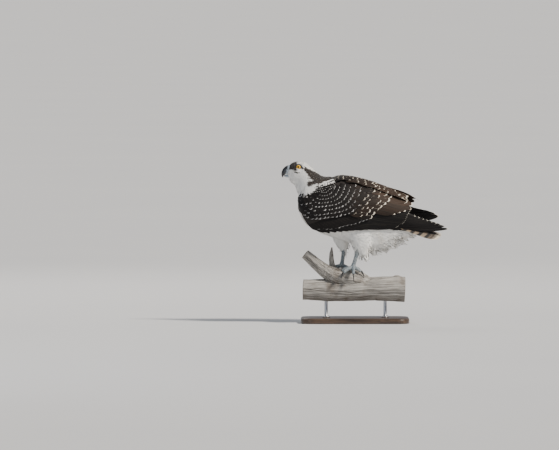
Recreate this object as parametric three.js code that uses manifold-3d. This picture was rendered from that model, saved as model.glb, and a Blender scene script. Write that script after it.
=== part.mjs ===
// A life-size osprey on a short cut length of dead branch, held by a plain display stand.
// Millimetres, +Z up. The bird faces -X and its left side is towards -Y. The origin is the middle of
// the stand's underside, on the surface that the stand rests on.
import * as THREE from "three";
import { mergeVertices } from "three/addons/utils/BufferGeometryUtils.js";
import Module from "manifold-3d";

const wasm = await Module();
wasm.setup();

// Driving dimensions
const GAP = 0.35; // between touching pieces
const HAIR = 0.02; // edges shorter than this are closed up
const BASE = { long: 330, wide: 190, thick: 16, corner: 38, bevel: 3 };
const ROD = { radius: 5, places: [-88, 92], sunk: 6, sides: 14 };
const BRANCH = { from: -158, to: 152, height: 101, radius: 31, growth: 7, sides: 16, rings: 11 };
const EYE = { x: -171, side: 15.2, z: 475.5, radius: 9 };
const TARSUS = { top: 7.5, waist: 5.4, foot: 7, sides: 9 };
const TOE = { radius: 5.4, tip: 3.9, sides: 7 };
const CLAW = { radius: 3.3, long: 27, sides: 7 };
const VANE = { thick: 1.15, shingle: 0.95 };
const TAIL = { root: [80, 0, 326], slope: -0.288, long: 192, half: 15.5, stack: 1.5, arch: 0.009 };
const TAIL_FAN = { turn: 0.021, apart: 1.6, shorter: 0.27 }; // from each feather to the next

// Small maths
const lerp = (a, b, t) => a + (b - a) * t;
const clamp = (v, low, high) => Math.min(high, Math.max(low, v));
const ease = (t) => t * t * (3 - 2 * t);

// A smooth curve through [at, value] pairs, level past both ends.
function through(pairs) {
  const slope = (i) => {
    const a = pairs[Math.max(0, i - 1)];
    const b = pairs[Math.min(pairs.length - 1, i + 1)];
    return (b[1] - a[1]) / (b[0] - a[0]);
  };
  return (at) => {
    const x = clamp(at, pairs[0][0], pairs[pairs.length - 1][0]);
    let i = 0;
    while (i < pairs.length - 2 && x > pairs[i + 1][0]) i += 1;
    const [x0, y0] = pairs[i];
    const [x1, y1] = pairs[i + 1];
    const w = x1 - x0;
    const t = (x - x0) / w;
    const keep = y0 * (1 + 2 * t) * (1 - t) ** 2 + y1 * t * t * (3 - 2 * t);
    return keep + slope(i) * w * t * (1 - t) ** 2 - slope(i + 1) * w * t * t * (1 - t);
  };
}

// Closed meshes and solids
function geometryOf(points, faces) {
  const geometry = new THREE.BufferGeometry();
  const numbers = points.flatMap((p) => [p.x, p.y, p.z]);
  geometry.setAttribute("position", new THREE.Float32BufferAttribute(numbers, 3));
  geometry.setIndex(faces.flat());
  return geometry;
}

function solidOf(geometry) {
  const bare = geometry.clone();
  bare.deleteAttribute("normal");
  bare.deleteAttribute("uv");
  const merged = mergeVertices(bare, 1e-4);
  const solid = new wasm.Manifold(
    new wasm.Mesh({
      numProp: 3,
      vertProperties: new Float32Array(merged.attributes.position.array),
      triVerts: new Uint32Array(merged.index.array),
    }),
  );
  if (solid.volume() > 0) return solid;
  const turned = new Uint32Array(merged.index.array);
  for (let i = 0; i < turned.length; i += 3) [turned[i + 1], turned[i + 2]] = [turned[i + 2], turned[i + 1]];
  return new wasm.Manifold(
    new wasm.Mesh({
      numProp: 3,
      vertProperties: new Float32Array(merged.attributes.position.array),
      triVerts: turned,
    }),
  );
}

const joined = (solids) => solids.reduce((whole, s) => whole.add(s));
const without = (solid, others) => others.reduce((rest, s) => rest.subtract(s), solid);

function largest(solid) {
  return solid.decompose().reduce((best, s) => (s.volume() > best.volume() ? s : best));
}

// Rings of points, each as long as the last, skinned and closed by a fan at both ends.
function skinned(rings) {
  const sides = rings[0].length;
  const points = rings.flat();
  const faces = [];
  const middle = (ring) => ring.reduce((sum, p) => sum.add(p), new THREE.Vector3()).divideScalar(sides);
  for (let r = 0; r + 1 < rings.length; r += 1)
    for (let k = 0; k < sides; k += 1) {
      const next = (k + 1) % sides;
      const a = r * sides + k;
      const b = r * sides + next;
      faces.push([a, b, a + sides], [b, b + sides, a + sides]);
    }
  const first = points.push(middle(rings[0])) - 1;
  const last = points.push(middle(rings[rings.length - 1])) - 1;
  const end = (rings.length - 1) * sides;
  for (let k = 0; k < sides; k += 1) {
    const next = (k + 1) % sides;
    faces.push([first, next, k], [last, end + k, end + next]);
  }
  return solidOf(geometryOf(points, faces));
}

// A body of upright oval sections along X. Each row is [x, top, bottom, half width].
function hull(rows, { rings, sides, grow = 0 }) {
  const at = rows.map((r) => r[0]);
  const [top, bottom, wide] = [1, 2, 3].map((c) => through(rows.map((r) => [r[0], r[c]])));
  const made = [];
  for (let i = 0; i <= rings; i += 1) {
    const t = 0.5 - 0.5 * Math.cos((Math.PI * i) / rings);
    const x = lerp(at[0], at[at.length - 1], lerp(i / rings, t, 0.75));
    const centre = (top(x) + bottom(x)) / 2;
    const tall = (top(x) - bottom(x)) / 2 + grow;
    const ring = [];
    for (let k = 0; k < sides; k += 1) {
      const angle = (2 * Math.PI * k) / sides;
      const y = Math.sin(angle) * (wide(x) + grow);
      const z = centre + Math.cos(angle) * tall;
      ring.push(new THREE.Vector3(x + grow * lerp(-1, 1, i / rings), y, z));
    }
    made.push(ring);
  }
  return skinned(made);
}

// A rounded body along a path in space. Each row is [x, y, z, half depth, half width].
function limb(rows, { steps, sides, grow = 0, across = new THREE.Vector3(0, 1, 0) }) {
  const centres = rows.map((r) => new THREE.Vector3(r[0], r[1], r[2]));
  const curve = new THREE.CatmullRomCurve3(centres, false, "centripetal");
  const last = rows.length - 1;
  const [deep, wide] = [3, 4].map((c) => through(rows.map((r, i) => [i / last, r[c] ?? r[3]])));
  const made = [];
  for (let i = 0; i <= steps; i += 1) {
    const t = i / steps;
    const centre = curve.getPoint(t);
    const along = curve.getTangent(t);
    const up = new THREE.Vector3().crossVectors(across, along).normalize();
    const side = new THREE.Vector3().crossVectors(along, up).normalize();
    if (grow && (i === 0 || i === steps)) centre.addScaledVector(along, i ? grow : -grow);
    const ring = [];
    for (let k = 0; k < sides; k += 1) {
      const angle = (2 * Math.PI * k) / sides;
      ring.push(
        centre
          .clone()
          .addScaledVector(up, Math.cos(angle) * (deep(t) + grow))
          .addScaledVector(side, Math.sin(angle) * (wide(t) + grow)),
      );
    }
    made.push(ring);
  }
  return skinned(made);
}

// Head, neck and torso: [x, top, bottom, half width]
const TORSO = [
  [-172, 382, 352, 22],
  [-164, 408, 326, 44],
  [-145, 430, 298, 57],
  [-108, 446, 274, 63],
  [-60, 445, 257, 63],
  [-10, 434, 241, 59],
  [35, 417, 226, 50],
  [68, 400, 214, 43],
  [98, 378, 228, 36],
  [130, 350, 248, 29],
  [160, 322, 259, 20],
  [182, 292, 270, 7],
];
const HEAD = [
  [-206, 470, 446, 7],
  [-202, 479, 437, 13],
  [-195, 487, 427, 19],
  [-184, 491.5, 420, 24],
  [-168, 493, 414, 27],
  [-150, 488.5, 414, 28],
  [-132, 475, 420, 26],
  [-114, 459, 432, 17],
];
// [x, y, z, half depth, half width]
const NECK = [
  [-172, 0, 462, 24, 24],
  [-154, 0, 442, 37, 30.5],
  [-136, 0, 419, 46, 40],
  [-112, 0, 388, 51, 53],
  [-92, 0, 365, 49, 57],
];

const torsoHull = (grow = 0) => hull(TORSO, { rings: 15, sides: 18, grow });
const headHull = (grow = 0) => hull(HEAD, { rings: 12, sides: 16, grow });
const neckLimb = (grow = 0) => limb(NECK, { steps: 6, sides: 16, grow });

// A flat slab across the body, used to part its pieces.
function slab(x, z, tilt, thick) {
  const geometry = new THREE.BoxGeometry(600, 600, thick);
  geometry.rotateY(tilt);
  geometry.translate(x, 0, z);
  return solidOf(geometry);
}

// The half space under such a slab, as a thick box.
function under(x, z, tilt) {
  const deep = 600;
  return slab(x - (Math.sin(tilt) * deep) / 2, z - (Math.cos(tilt) * deep) / 2, tilt, deep - GAP);
}

function over(x, z, tilt) {
  const deep = 600;
  return slab(x + (Math.sin(tilt) * deep) / 2, z + (Math.cos(tilt) * deep) / 2, tilt, deep - GAP);
}

const NAPE_CUT = [-158, 430, -0.62];
const CHEST_CUT = [-122, 408, -0.72];

function eye(side, grow = 0) {
  const geometry = new THREE.SphereGeometry(EYE.radius + grow, 12, 8);
  geometry.rotateX(Math.PI / 2);
  geometry.translate(EYE.x, side * EYE.side, EYE.z);
  return solidOf(geometry);
}

// The lids stand as a low ring where the eye leaves the head.
function lids(side) {
  const geometry = new THREE.TorusGeometry(7.4, 1.5, 5, 13);
  geometry.scale(1.06, 0.94, 1);
  geometry.rotateX(Math.PI / 2 + side * 0.2);
  geometry.rotateZ(side * -0.16);
  geometry.translate(EYE.x - 0.4, side * (EYE.side + 6.4), EYE.z + 0.6);
  return solidOf(geometry);
}

// Bill: the path runs from inside the head to the hooked tip.
const BILL_UPPER = [
  [-186, 0, 468, 13.5, 12],
  [-200, 0, 466.5, 14, 10.5],
  [-210, 0, 463, 11.6, 8.4],
  [-217, 0, 457, 7.6, 5.8],
  [-220.6, 0, 449.5, 3.7, 3.2],
  [-220.3, 0, 443.2, 0.8, 0.8],
];
const BILL_LOWER = [
  [-188, 0, 449.5, 6, 9.4],
  [-201, 0, 448.6, 5.6, 7.8],
  [-210, 0, 447.8, 4.4, 5.6],
  [-216, 0, 448.2, 2, 3],
];

// Wing surface: how far the folded wing stands out from the middle plane, over x and z.
const wingLow = through([
  [-179, 366],
  [-168, 335],
  [-152, 309],
  [-132, 288],
  [-108, 274],
  [-70, 268],
  [0, 271],
  [60, 280],
  [137, 283],
  [235, 279],
  [290, 282],
]);
const wingHigh = through([
  [-179, 369],
  [-168, 390],
  [-143, 404],
  [-113, 419],
  [-76, 436],
  [-36, 443],
  [36, 426],
  [110, 398],
  [165, 372],
  [235, 316],
  [290, 288],
]);
const wingOut = through([
  [-179, 34],
  [-170, 54],
  [-154, 70],
  [-122, 80],
  [-80, 82],
  [-30, 79],
  [40, 71],
  [110, 59],
  [180, 48],
  [240, 41],
  [290, 37],
]);
const wingRound = through([
  [0, 0.76],
  [0.25, 0.95],
  [0.5, 1],
  [0.75, 0.84],
  [1, 0.42],
]);

function wingDepth(x, z) {
  const [low, high] = [wingLow(x), wingHigh(x)];
  const share = clamp((z - low) / Math.max(8, high - low), 0, 1);
  const flat = ease(clamp((x - 120) / 110, 0, 1));
  const past = Math.max(0, z - high, low - z);
  return wingOut(x) * lerp(wingRound(share), 0.84, flat) - past * lerp(0.45, 0.1, flat);
}

// A point on the wing, lifted off its surface along the surface's own normal.
function onWing(x, z, lift) {
  const step = 2;
  const dx = (wingDepth(x + step, z) - wingDepth(x - step, z)) / (2 * step);
  const dz = (wingDepth(x, z + step) - wingDepth(x, z - step)) / (2 * step);
  const normal = new THREE.Vector3(-dx, -1, -dz).normalize();
  return new THREE.Vector3(x, -wingDepth(x, z), z).addScaledVector(normal, lift);
}

// A feather's half width along its length, 0 at the root and 1 at the tip.
const vaneShape = through([
  [0, 0.5],
  [0.25, 0.88],
  [0.6, 1],
  [0.85, 0.88],
  [1, 0.5],
]);

// A thin closed vane. place(along, across, lift, back) gives a point in space, with along from 0 to 1,
// and both faces are split into triangles alike.
function vane(place, { steps, half, thick = VANE.thick, tilt = 0 }) {
  const columns = [-1, 0, 1];
  const wide = columns.length;
  const faceOf = (drop) => {
    const rows = [];
    for (let i = 0; i <= steps; i += 1)
      for (const c of columns) {
        const t = i / steps;
        const back = i === steps ? Math.abs(c) * 0.5 * half : 0;
        const crown = 1 - 0.35 * Math.abs(c);
        rows.push(place(t, c * half * vaneShape(t), tilt * c - (drop ? thick * crown : 0), back));
      }
    return rows;
  };
  const upper = faceOf(false);
  const lower = faceOf(true);
  const size = upper.length;
  const faces = [];
  const quad = (a, b, c, d) => faces.push([a, b, c], [a, c, d]);
  for (let i = 0; i < steps; i += 1)
    for (let k = 0; k + 1 < wide; k += 1) {
      const a = i * wide + k;
      const [b, c, d] = [a + 1, a + 1 + wide, a + wide];
      faces.push([a, b, c], [a, c, d], [size + a, size + c, size + b], [size + a, size + d, size + c]);
    }
  const rim = [];
  for (let k = 0; k < wide; k += 1) rim.push(k);
  for (let i = 1; i <= steps; i += 1) rim.push(i * wide + wide - 1);
  for (let k = wide - 2; k >= 0; k -= 1) rim.push(steps * wide + k);
  for (let i = steps - 1; i > 0; i -= 1) rim.push(i * wide);
  rim.forEach((a, n) => {
    const b = rim[(n + 1) % rim.length];
    quad(a, size + a, size + b, b);
  });
  return solidOf(geometryOf([...upper, ...lower], faces));
}

// A feather draped on the wing. It ends at [x, z], points at an angle below the horizontal, and its
// lift over the wing's surface goes from deep at the root to proud at the tip.
function wingFeather({ tip, angle, long, half, deep, proud, steps = 4 }) {
  const [run, rise] = [Math.cos(angle), -Math.sin(angle)];
  const place = (t, c, lift, back) => {
    const short = long * (1 - t) + back;
    const x = tip[0] - run * short - rise * c;
    const z = tip[1] - rise * short + run * c;
    return onWing(x, z, lerp(deep, proud, ease(Math.min(1, t * 1.6))) + lift);
  };
  return vane(place, { steps, half, tilt: VANE.shingle });
}

// The tiers of the folded wing. tips is a curve of feather ends from the first feather to the last,
// and angle, long and half go from the first feather's value to the last one's. deep and proud are
// lifts over the wing's surface.
const TIERS = {
  primaries: {
    count: 6,
    tips: [
      [285, 287],
      [270, 297],
      [250, 304],
      [222, 313],
      [186, 327],
    ],
    angle: [-0.02, 0.22],
    long: [240, 180],
    half: [8.5, 13],
    deep: -17,
    proud: -10.2,
    steps: 5,
    drawn: true,
  },
  secondaries: {
    count: 6,
    tips: [
      [128, 293],
      [148, 305],
      [158, 320],
      [164, 334],
      [170, 346],
    ],
    angle: [0.02, 0.36],
    long: [180, 160],
    half: [13, 14],
    deep: -14,
    proud: -7,
  },
  greater_coverts: {
    count: 8,
    tips: [
      [-66, 286],
      [-34, 296],
      [12, 307],
      [52, 324],
      [66, 344],
    ],
    angle: [0.5, 0.28],
    long: [62, 84],
    half: [12, 14],
    deep: -11,
    proud: -3.7,
    steps: 3,
  },
  tertials: {
    count: 4,
    tips: [
      [128, 338],
      [152, 345],
      [172, 352],
      [166, 361],
    ],
    angle: [0.28, 0.36],
    long: [130, 135],
    half: [15, 15],
    deep: -11,
    proud: -3.7,
  },
  median_coverts: {
    count: 8,
    tips: [
      [-134, 309],
      [-104, 319],
      [-60, 326],
      [-8, 345],
      [20, 372],
    ],
    angle: [0.85, 0.3],
    long: [42, 60],
    half: [10.5, 12.5],
    deep: -7,
    proud: -0.7,
    steps: 3,
  },
  scapulars: {
    count: 5,
    tips: [
      [44, 356],
      [82, 364],
      [108, 371],
      [112, 381],
      [92, 392],
    ],
    angle: [0.24, 0.29],
    long: [90, 100],
    half: [14, 13],
    deep: -7,
    proud: -0.6,
    steps: 3,
  },
};

// How far the pad lies under the wing's surface: little at the front and where the small coverts are,
// and deeper behind, under the tiers.
const sinkAlong = through([
  [-179, 0],
  [-130, 0.6],
  [-90, 3.4],
  [-40, 6.6],
  [30, 9.8],
  [90, 12.4],
  [150, 14],
]);
const smallCovertEdge = through([
  [-134, 309],
  [-104, 319],
  [-60, 326],
  [-8, 345],
  [20, 374],
  [44, 420],
]);
function padSink(x, z) {
  const covered = clamp((smallCovertEdge(x) + 40 - z) / 26, 0, 1);
  return lerp(0.4, sinkAlong(x), covered);
}

// The arm, hand and small feathers: a solid pad that follows the wing's surface. Up to the first x it
// reaches into the body, which is cut from it, and past the second it hangs free.
const HELD = [-100, -20];
function wingPad() {
  const rings = 12;
  const across = 8;
  const rows = [];
  for (let i = 0; i <= rings; i += 1) {
    const x = lerp(-178, 138, (i / rings) ** 1.6);
    const [low, high] = [wingLow(x), wingHigh(x)];
    const inset = lerp(0, 13, ease(i / rings));
    const middle = new THREE.Vector3(x, 0, (low + high) / 2);
    const held = 1 - ease(clamp((x - HELD[0]) / (HELD[1] - HELD[0]), 0, 1));
    const outer = [];
    const inner = [];
    for (let k = 0; k <= across; k += 1) {
      const z = lerp(low + inset, high - inset * 0.6, k / across);
      const edge = Math.sin(Math.PI * clamp(k / across, 0.06, 0.94)) ** 0.5;
      const thick = lerp(7, 22, edge) * lerp(1, 0.3, ease(i / rings));
      const sink = padSink(x, z);
      const skin = onWing(x, z, -sink);
      outer.push(skin);
      if (k % 2) continue;
      const behind = onWing(x, z, -Math.max(sink, sinkAlong(x)) - thick);
      inner.push(behind.lerp(skin.clone().lerp(middle, 0.5), held));
    }
    rows.push([...outer, ...inner.reverse()]);
  }
  return skinned(rows);
}

// The left wing. drawn is how far the long feathers' tips are drawn in.
function foldedWing(drawn) {
  const vanes = Object.values(TIERS).flatMap((tier) => {
    const ends = tier.tips.map(([x, z]) => new THREE.Vector3(x, 0, z));
    const line = new THREE.CatmullRomCurve3(ends);
    return Array.from({ length: tier.count }, (_, i) => {
      const share = i / (tier.count - 1);
      const end = line.getPointAt(share);
      const between = (pair) => lerp(pair[0], pair[1], share);
      const angle = between(tier.angle);
      const tip = [end.x - (tier.drawn ? drawn * Math.cos(angle) : 0), end.z];
      return wingFeather({ ...tier, tip, angle, long: between(tier.long), half: between(tier.half) });
    });
  });
  return joined([wingPad(), ...vanes]);
}

// Both wings are built as the left one. The right one is mirrored, lifted at its tip and folded tighter.
const WING_LIFT = 0.085;
const DRAWN = 33;
const WING_HINGE = [-70, 372];
function asRight(solid) {
  const [x, z] = WING_HINGE;
  return solid
    .translate([-x, 0, -z])
    .rotate([0, (-WING_LIFT * 180) / Math.PI, 0])
    .translate([x, 0, z])
    .mirror([0, 1, 0]);
}

const wing = (side) => (side < 0 ? foldedWing(0) : asRight(foldedWing(DRAWN)));

// Tail: vanes stacked from the middle pair down to the outer ones, on a short core.
function onTail(along, across, lift) {
  const [x, y, z] = TAIL.root;
  const [run, rise] = [Math.cos(TAIL.slope), Math.sin(TAIL.slope)];
  const sag = TAIL.arch * across * across;
  const out = lift - sag;
  return new THREE.Vector3(x + run * along - rise * out, y + across, z + rise * along + run * out);
}

function tailFeather(place, level) {
  const turn = place * TAIL_FAN.turn;
  const at = (t, c, lift, back) => {
    const along = t * (TAIL.long - TAIL_FAN.shorter * place * place) - back;
    const across = place * TAIL_FAN.apart + along * turn + c;
    return onTail(along, across, -level * TAIL.stack + lift);
  };
  return vane(at, { steps: 4, half: TAIL.half });
}

function tailCore(grow = 0) {
  const rows = [];
  for (let i = 0; i <= 4; i += 1) {
    const along = lerp(-4, 118, i / 4) + (i === 4 ? grow : 0);
    const ring = [];
    for (let k = 0; k < 12; k += 1) {
      const a = (2 * Math.PI * k) / 12;
      const half = lerp(22, 15, i / 4) + grow;
      const thick = lerp(8, 5, i / 4) + grow;
      ring.push(onTail(along, Math.cos(a) * half, -5 + Math.sin(a) * thick));
    }
    rows.push(ring);
  }
  return skinned(rows);
}

function tail() {
  const levels = [0, 1, 2, 3, 4, 4, 5, 5, 6, 6, 7, 7];
  const vanes = levels.map((level, n) => tailFeather((n % 2 ? -1 : 1) * (Math.floor(n / 2) + 0.5), level));
  return joined([tailCore(), ...vanes]);
}

// The space that the wings leave to the tail.
function tailRoom() {
  const rows = [];
  for (let i = 0; i <= 5; i += 1) {
    const along = lerp(0, TAIL.long + 4, i / 5);
    const half = 22 + 8.8 + along * 0.118;
    const ring = [];
    for (let k = 0; k <= 6; k += 1) ring.push(onTail(along, lerp(-half, half, k / 6), 1.2));
    for (let k = 6; k >= 0; k -= 1) ring.push(onTail(along, lerp(-half, half, k / 6), -13));
    rows.push(ring);
  }
  return skinned(rows);
}

// Legs. The left leg is set further back than the right. [x, y, z, half depth, half width]
const LEGS = {
  left: {
    thigh: [
      [6, -26, 302, 34, 20],
      [16, -30, 270, 38, 19],
      [21, -31, 244, 33, 16.5],
      [24, -33, 222, 21, 12],
      [33, -33, 205, 7, 6],
    ],
    ankle: [10, -35, 226],
    knuckle: [-6, -29, 172],
    toes: [
      { name: "inner", turn: 2.9, reach: 33, drop: 7, droop: 9 },
      { name: "middle", turn: 3.75, reach: 35, drop: 12, droop: 19 },
      { name: "outer", turn: 4.75, reach: 24, drop: 17, droop: 24 },
      { name: "hind", turn: 0.12, reach: 23, drop: 9, droop: 16 },
    ],
  },
  right: {
    thigh: [
      [-46, 26, 302, 32, 20],
      [-44, 31, 268, 30, 18],
      [-40, 33, 246, 22, 15],
      [-35, 35, 226, 14.5, 11],
      [-34, 33, 214, 8, 7],
    ],
    ankle: [-32, 33, 230],
    knuckle: [-40, 27, 176],
    toes: [
      { name: "inner", turn: 3.35, reach: 33, drop: 4, droop: 9 },
      { name: "middle", turn: 2.5, reach: 34, drop: 14, droop: 20 },
      { name: "outer", turn: 1.4, reach: 26, drop: 20, droop: 24 },
      { name: "hind", turn: 6.1, reach: 24, drop: 10, droop: 12 },
    ],
  },
};

const thigh = (leg, grow = 0) => limb(leg.thigh, { steps: 7, sides: 12, grow });

function tarsus(leg, grow = 0) {
  const [a, b] = [leg.ankle, leg.knuckle].map((p) => new THREE.Vector3(...p));
  const at = (t) => a.clone().lerp(b, t).toArray();
  return limb(
    [
      [...at(-0.1), TARSUS.top, TARSUS.top],
      [...at(0.3), TARSUS.waist * 1.12, TARSUS.waist],
      [...at(0.75), TARSUS.waist * 1.05, TARSUS.waist],
      [...at(0.94), TARSUS.foot * 0.95, TARSUS.foot * 0.95],
    ],
    { steps: 5, sides: TARSUS.sides, grow },
  );
}

function toePath(leg, toe) {
  const [x, y, z] = leg.knuckle;
  const out = new THREE.Vector3(Math.cos(toe.turn), Math.sin(toe.turn), 0);
  const point = (share, fall) => [x + out.x * toe.reach * share, y + out.y * toe.reach * share, z - fall];
  const bends = [0, 0.4, 0.75, 1];
  const falls = [2, 4 + toe.drop * 0.1, 4 + toe.drop * 0.5, 5 + toe.drop];
  return { out, path: bends.map((share, i) => point(share, falls[i])) };
}

function toeSolid(leg, toe, grow = 0) {
  const { path } = toePath(leg, toe);
  const radii = [TOE.radius * 1.15, TOE.radius, TOE.radius * 0.92, TOE.tip];
  return limb(path.map((p, i) => [...p, radii[i]]), {
    steps: 4,
    sides: TOE.sides,
    grow,
    across: new THREE.Vector3(-Math.sin(toe.turn), Math.cos(toe.turn), 0),
  });
}

function claw(leg, toe, grow = 0) {
  const { out, path } = toePath(leg, toe);
  const [x, y, z] = path[3];
  const rows = [];
  for (let i = 0; i <= 4; i += 1) {
    const t = i / 4;
    const bend = t * 1.5 + 0.25;
    const run = CLAW.long * 0.42 * Math.sin(bend);
    const fall = CLAW.long * 0.62 * (1 - Math.cos(bend)) + toe.droop * 0.25 * t;
    rows.push([
      x + out.x * (run - 2),
      y + out.y * (run - 2),
      z + 1 - fall,
      lerp(CLAW.radius, 0.5, t ** 1.3),
      lerp(CLAW.radius * 0.8, 0.45, t ** 1.3),
    ]);
  }
  return limb(rows, {
    steps: 6,
    sides: CLAW.sides,
    grow,
    across: new THREE.Vector3(-Math.sin(toe.turn), Math.cos(toe.turn), 0),
  });
}

function foot(leg, grow = 0) {
  const pad = new THREE.SphereGeometry(TARSUS.foot * 1.12 + grow, 10, 7);
  pad.translate(leg.knuckle[0], leg.knuckle[1], leg.knuckle[2] - 1);
  return joined([solidOf(pad), ...leg.toes.map((toe) => toeSolid(leg, toe, grow))]);
}

// Branch: a main stem, and a cut side stem with its swelling and a broken twig.
function mainStem(grow = 0) {
  const rows = [];
  for (let i = 0; i <= BRANCH.rings; i += 1) {
    const t = i / BRANCH.rings;
    const x = lerp(BRANCH.from, BRANCH.to, t);
    const radius = BRANCH.radius + BRANCH.growth * t;
    const ring = [];
    for (let k = 0; k < BRANCH.sides; k += 1) {
      const a = (2 * Math.PI * k) / BRANCH.sides;
      const r = radius * (1 + 0.035 * Math.sin(3 * a + x * 0.02) + 0.02 * Math.sin(5 * a - x * 0.035)) + grow;
      const centre = BRANCH.height + 2 * Math.sin(x * 0.018);
      ring.push(new THREE.Vector3(x, Math.cos(a) * r, centre + Math.sin(a) * r));
    }
    rows.push(ring);
  }
  const knot = new THREE.SphereGeometry(11 + grow, 10, 7);
  knot.scale(1.15, 1, 1);
  knot.translate(128, -6, 133);
  return skinned(rows).add(solidOf(knot));
}

function sideStem(grow = 0) {
  return limb(
    [
      [52, 0, 112, 20, 22],
      [12, 0, 126, 29, 31],
      [-28, 0, 134, 30, 34],
      [-62, -1, 142, 27, 29],
      [-100, -3, 166, 18.5, 19],
      [-152, -5, 209, 14.5, 14.5],
    ],
    { steps: 8, sides: 12, grow },
  );
}

function twig() {
  return limb(
    [
      [-64, 14, 150, 11, 10],
      [-70, 16, 178, 8, 7],
      [-72, 17, 205, 5.5, 4.5],
      [-71, 17, 228, 1.6, 1.4],
    ],
    { steps: 5, sides: 8 },
  );
}

// Stand
function standBase() {
  const { long, wide, thick, corner, bevel } = BASE;
  const shape = new THREE.Shape();
  const [x, y] = [long / 2 - bevel, wide / 2 - bevel];
  shape.moveTo(-x + corner, -y);
  shape.lineTo(x - corner, -y);
  shape.absarc(x - corner, -y + corner, corner, -Math.PI / 2, 0);
  shape.absarc(x - corner, y - corner, corner, 0, Math.PI / 2);
  shape.absarc(-x + corner, y - corner, corner, Math.PI / 2, Math.PI);
  shape.absarc(-x + corner, -y + corner, corner, Math.PI, 1.5 * Math.PI);
  const geometry = new THREE.ExtrudeGeometry(shape, {
    depth: thick - 2 * bevel,
    bevelSize: bevel,
    bevelThickness: bevel,
    bevelSegments: 1,
    curveSegments: 5,
  });
  geometry.translate(0, 0, bevel);
  return solidOf(geometry);
}

function rod(x, grow = 0) {
  const top = BRANCH.height;
  const foot = BASE.thick - ROD.sunk;
  const radius = ROD.radius + grow;
  const geometry = new THREE.CylinderGeometry(radius, radius, top - foot, ROD.sides);
  geometry.rotateX(Math.PI / 2);
  geometry.translate(x, 0, (top + foot) / 2);
  return solidOf(geometry);
}

// Assembly
const LOOKS = {
  plumage_dark: [0x2a2320, 0.8, 0],
  plumage_white: [0xd9d6cc, 0.85, 0],
  bill: [0x23262b, 0.35, 0],
  iris: [0xe0a526, 0.12, 0],
  skin: [0xa3adb0, 0.6, 0],
  claw: [0x141416, 0.35, 0],
  dead_wood: [0x8f8c88, 0.9, 0],
  stand_wood: [0x3b2b22, 0.5, 0],
  stand_steel: [0x8d9093, 0.3, 1],
};
const model = new THREE.Group();
const finishes = Object.fromEntries(
  Object.entries(LOOKS).map(([name, [color, roughness, metalness]]) => [
    name,
    new THREE.MeshStandardMaterial({ name, color, roughness, metalness }),
  ]),
);

// Cutting leaves edges shorter than a hair and corners that only touch. The first are drawn together
// where the surface stays closed, and the second are moved apart, into the solid.
function settled(solid) {
  const { numProp, vertProperties, triVerts } = solid.getMesh();
  const points = [];
  for (let i = 0; i < vertProperties.length; i += numProp)
    points.push(new THREE.Vector3().fromArray(vertProperties, i));
  let faces = [];
  for (let i = 0; i < triVerts.length; i += 3) faces.push([...triVerts.subarray(i, i + 3)]);
  const around = points.map(() => new Set());
  faces.forEach((face) => face.forEach((v) => around[v].add(face)));
  const ring = (v) => new Set([...around[v]].flat());
  for (const face of faces)
    for (let k = 0; k < 3; k += 1) {
      const [a, b] = [face[k], face[(k + 1) % 3]];
      if (a === b || !around[a].has(face) || points[a].distanceTo(points[b]) > HAIR) continue;
      const shared = [...around[a]].filter((f) => around[b].has(f));
      const both = [...ring(a)].filter((v) => v !== a && v !== b && ring(b).has(v));
      if (shared.length !== 2 || both.length !== 2) continue;
      shared.forEach((f) => f.forEach((v) => around[v].delete(f)));
      for (const f of around[b]) {
        f[f.indexOf(b)] = a;
        around[a].add(f);
      }
      around[b].clear();
    }
  faces = faces.filter((face) => around[face[0]].has(face));
  const normals = points.map(() => new THREE.Vector3());
  for (const [a, b, c] of faces) {
    const side = new THREE.Vector3().subVectors(points[b], points[a]);
    side.cross(new THREE.Vector3().subVectors(points[c], points[a]));
    [a, b, c].forEach((v) => normals[v].add(side));
  }
  const seen = new Map();
  points.forEach((p, v) => {
    if (!around[v].size) return;
    const key = p.toArray().map((n) => Math.round(n * 500)).join();
    if (seen.has(key)) p.addScaledVector(normals[v].normalize(), -HAIR);
    else seen.set(key, v);
  });
  const used = new Map();
  for (const v of faces.flat()) if (!used.has(v)) used.set(v, used.size);
  return geometryOf([...used.keys()].map((v) => points[v]), faces.map((f) => f.map((v) => used.get(v))));
}

function add(name, solid, look) {
  const geometry = settled(largest(solid));
  geometry.computeVertexNormals();
  const mesh = new THREE.Mesh(geometry, finishes[look]);
  mesh.name = name;
  model.add(mesh);
}

const legs = Object.entries(LEGS);
const flesh = joined([torsoHull(), neckLimb(), headHull()]);
const grownFlesh = joined([torsoHull(GAP), neckLimb(GAP), headHull(GAP)]);
const eyeHoles = [-1, 1].map((side) => eye(side, GAP));

const mouth = solidOf(new THREE.BoxGeometry(26, 90, 0.9).rotateY(-0.16).translate(-195, 0, 454));
const skull = joined([flesh, lids(-1), lids(1)]).intersect(over(...NAPE_CUT));
add("head", without(skull, [...eyeHoles, mouth]), "plumage_white");
add("neck", flesh.intersect(under(...NAPE_CUT)).intersect(over(...CHEST_CUT)), "plumage_white");
const torso = flesh.intersect(under(...CHEST_CUT));
add("torso", torso, "plumage_white");
add("eye_left", eye(-1), "iris");
add("eye_right", eye(1), "iris");

const upper = limb(BILL_UPPER, { steps: 9, sides: 10 });
const grownUpper = limb(BILL_UPPER, { steps: 9, sides: 10, grow: GAP });
const nostrils = [-1, 1].map((side) => {
  const geometry = new THREE.SphereGeometry(1.5, 8, 6);
  geometry.scale(1.5, 1.4, 0.7);
  geometry.rotateY(0.5);
  geometry.translate(-208, side * 8.2, 469);
  return solidOf(geometry);
});
add("bill_upper", without(upper, [grownFlesh, ...nostrils]), "bill");
add("bill_lower", without(limb(BILL_LOWER, { steps: 6, sides: 10 }), [grownFlesh, grownUpper]), "bill");

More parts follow.
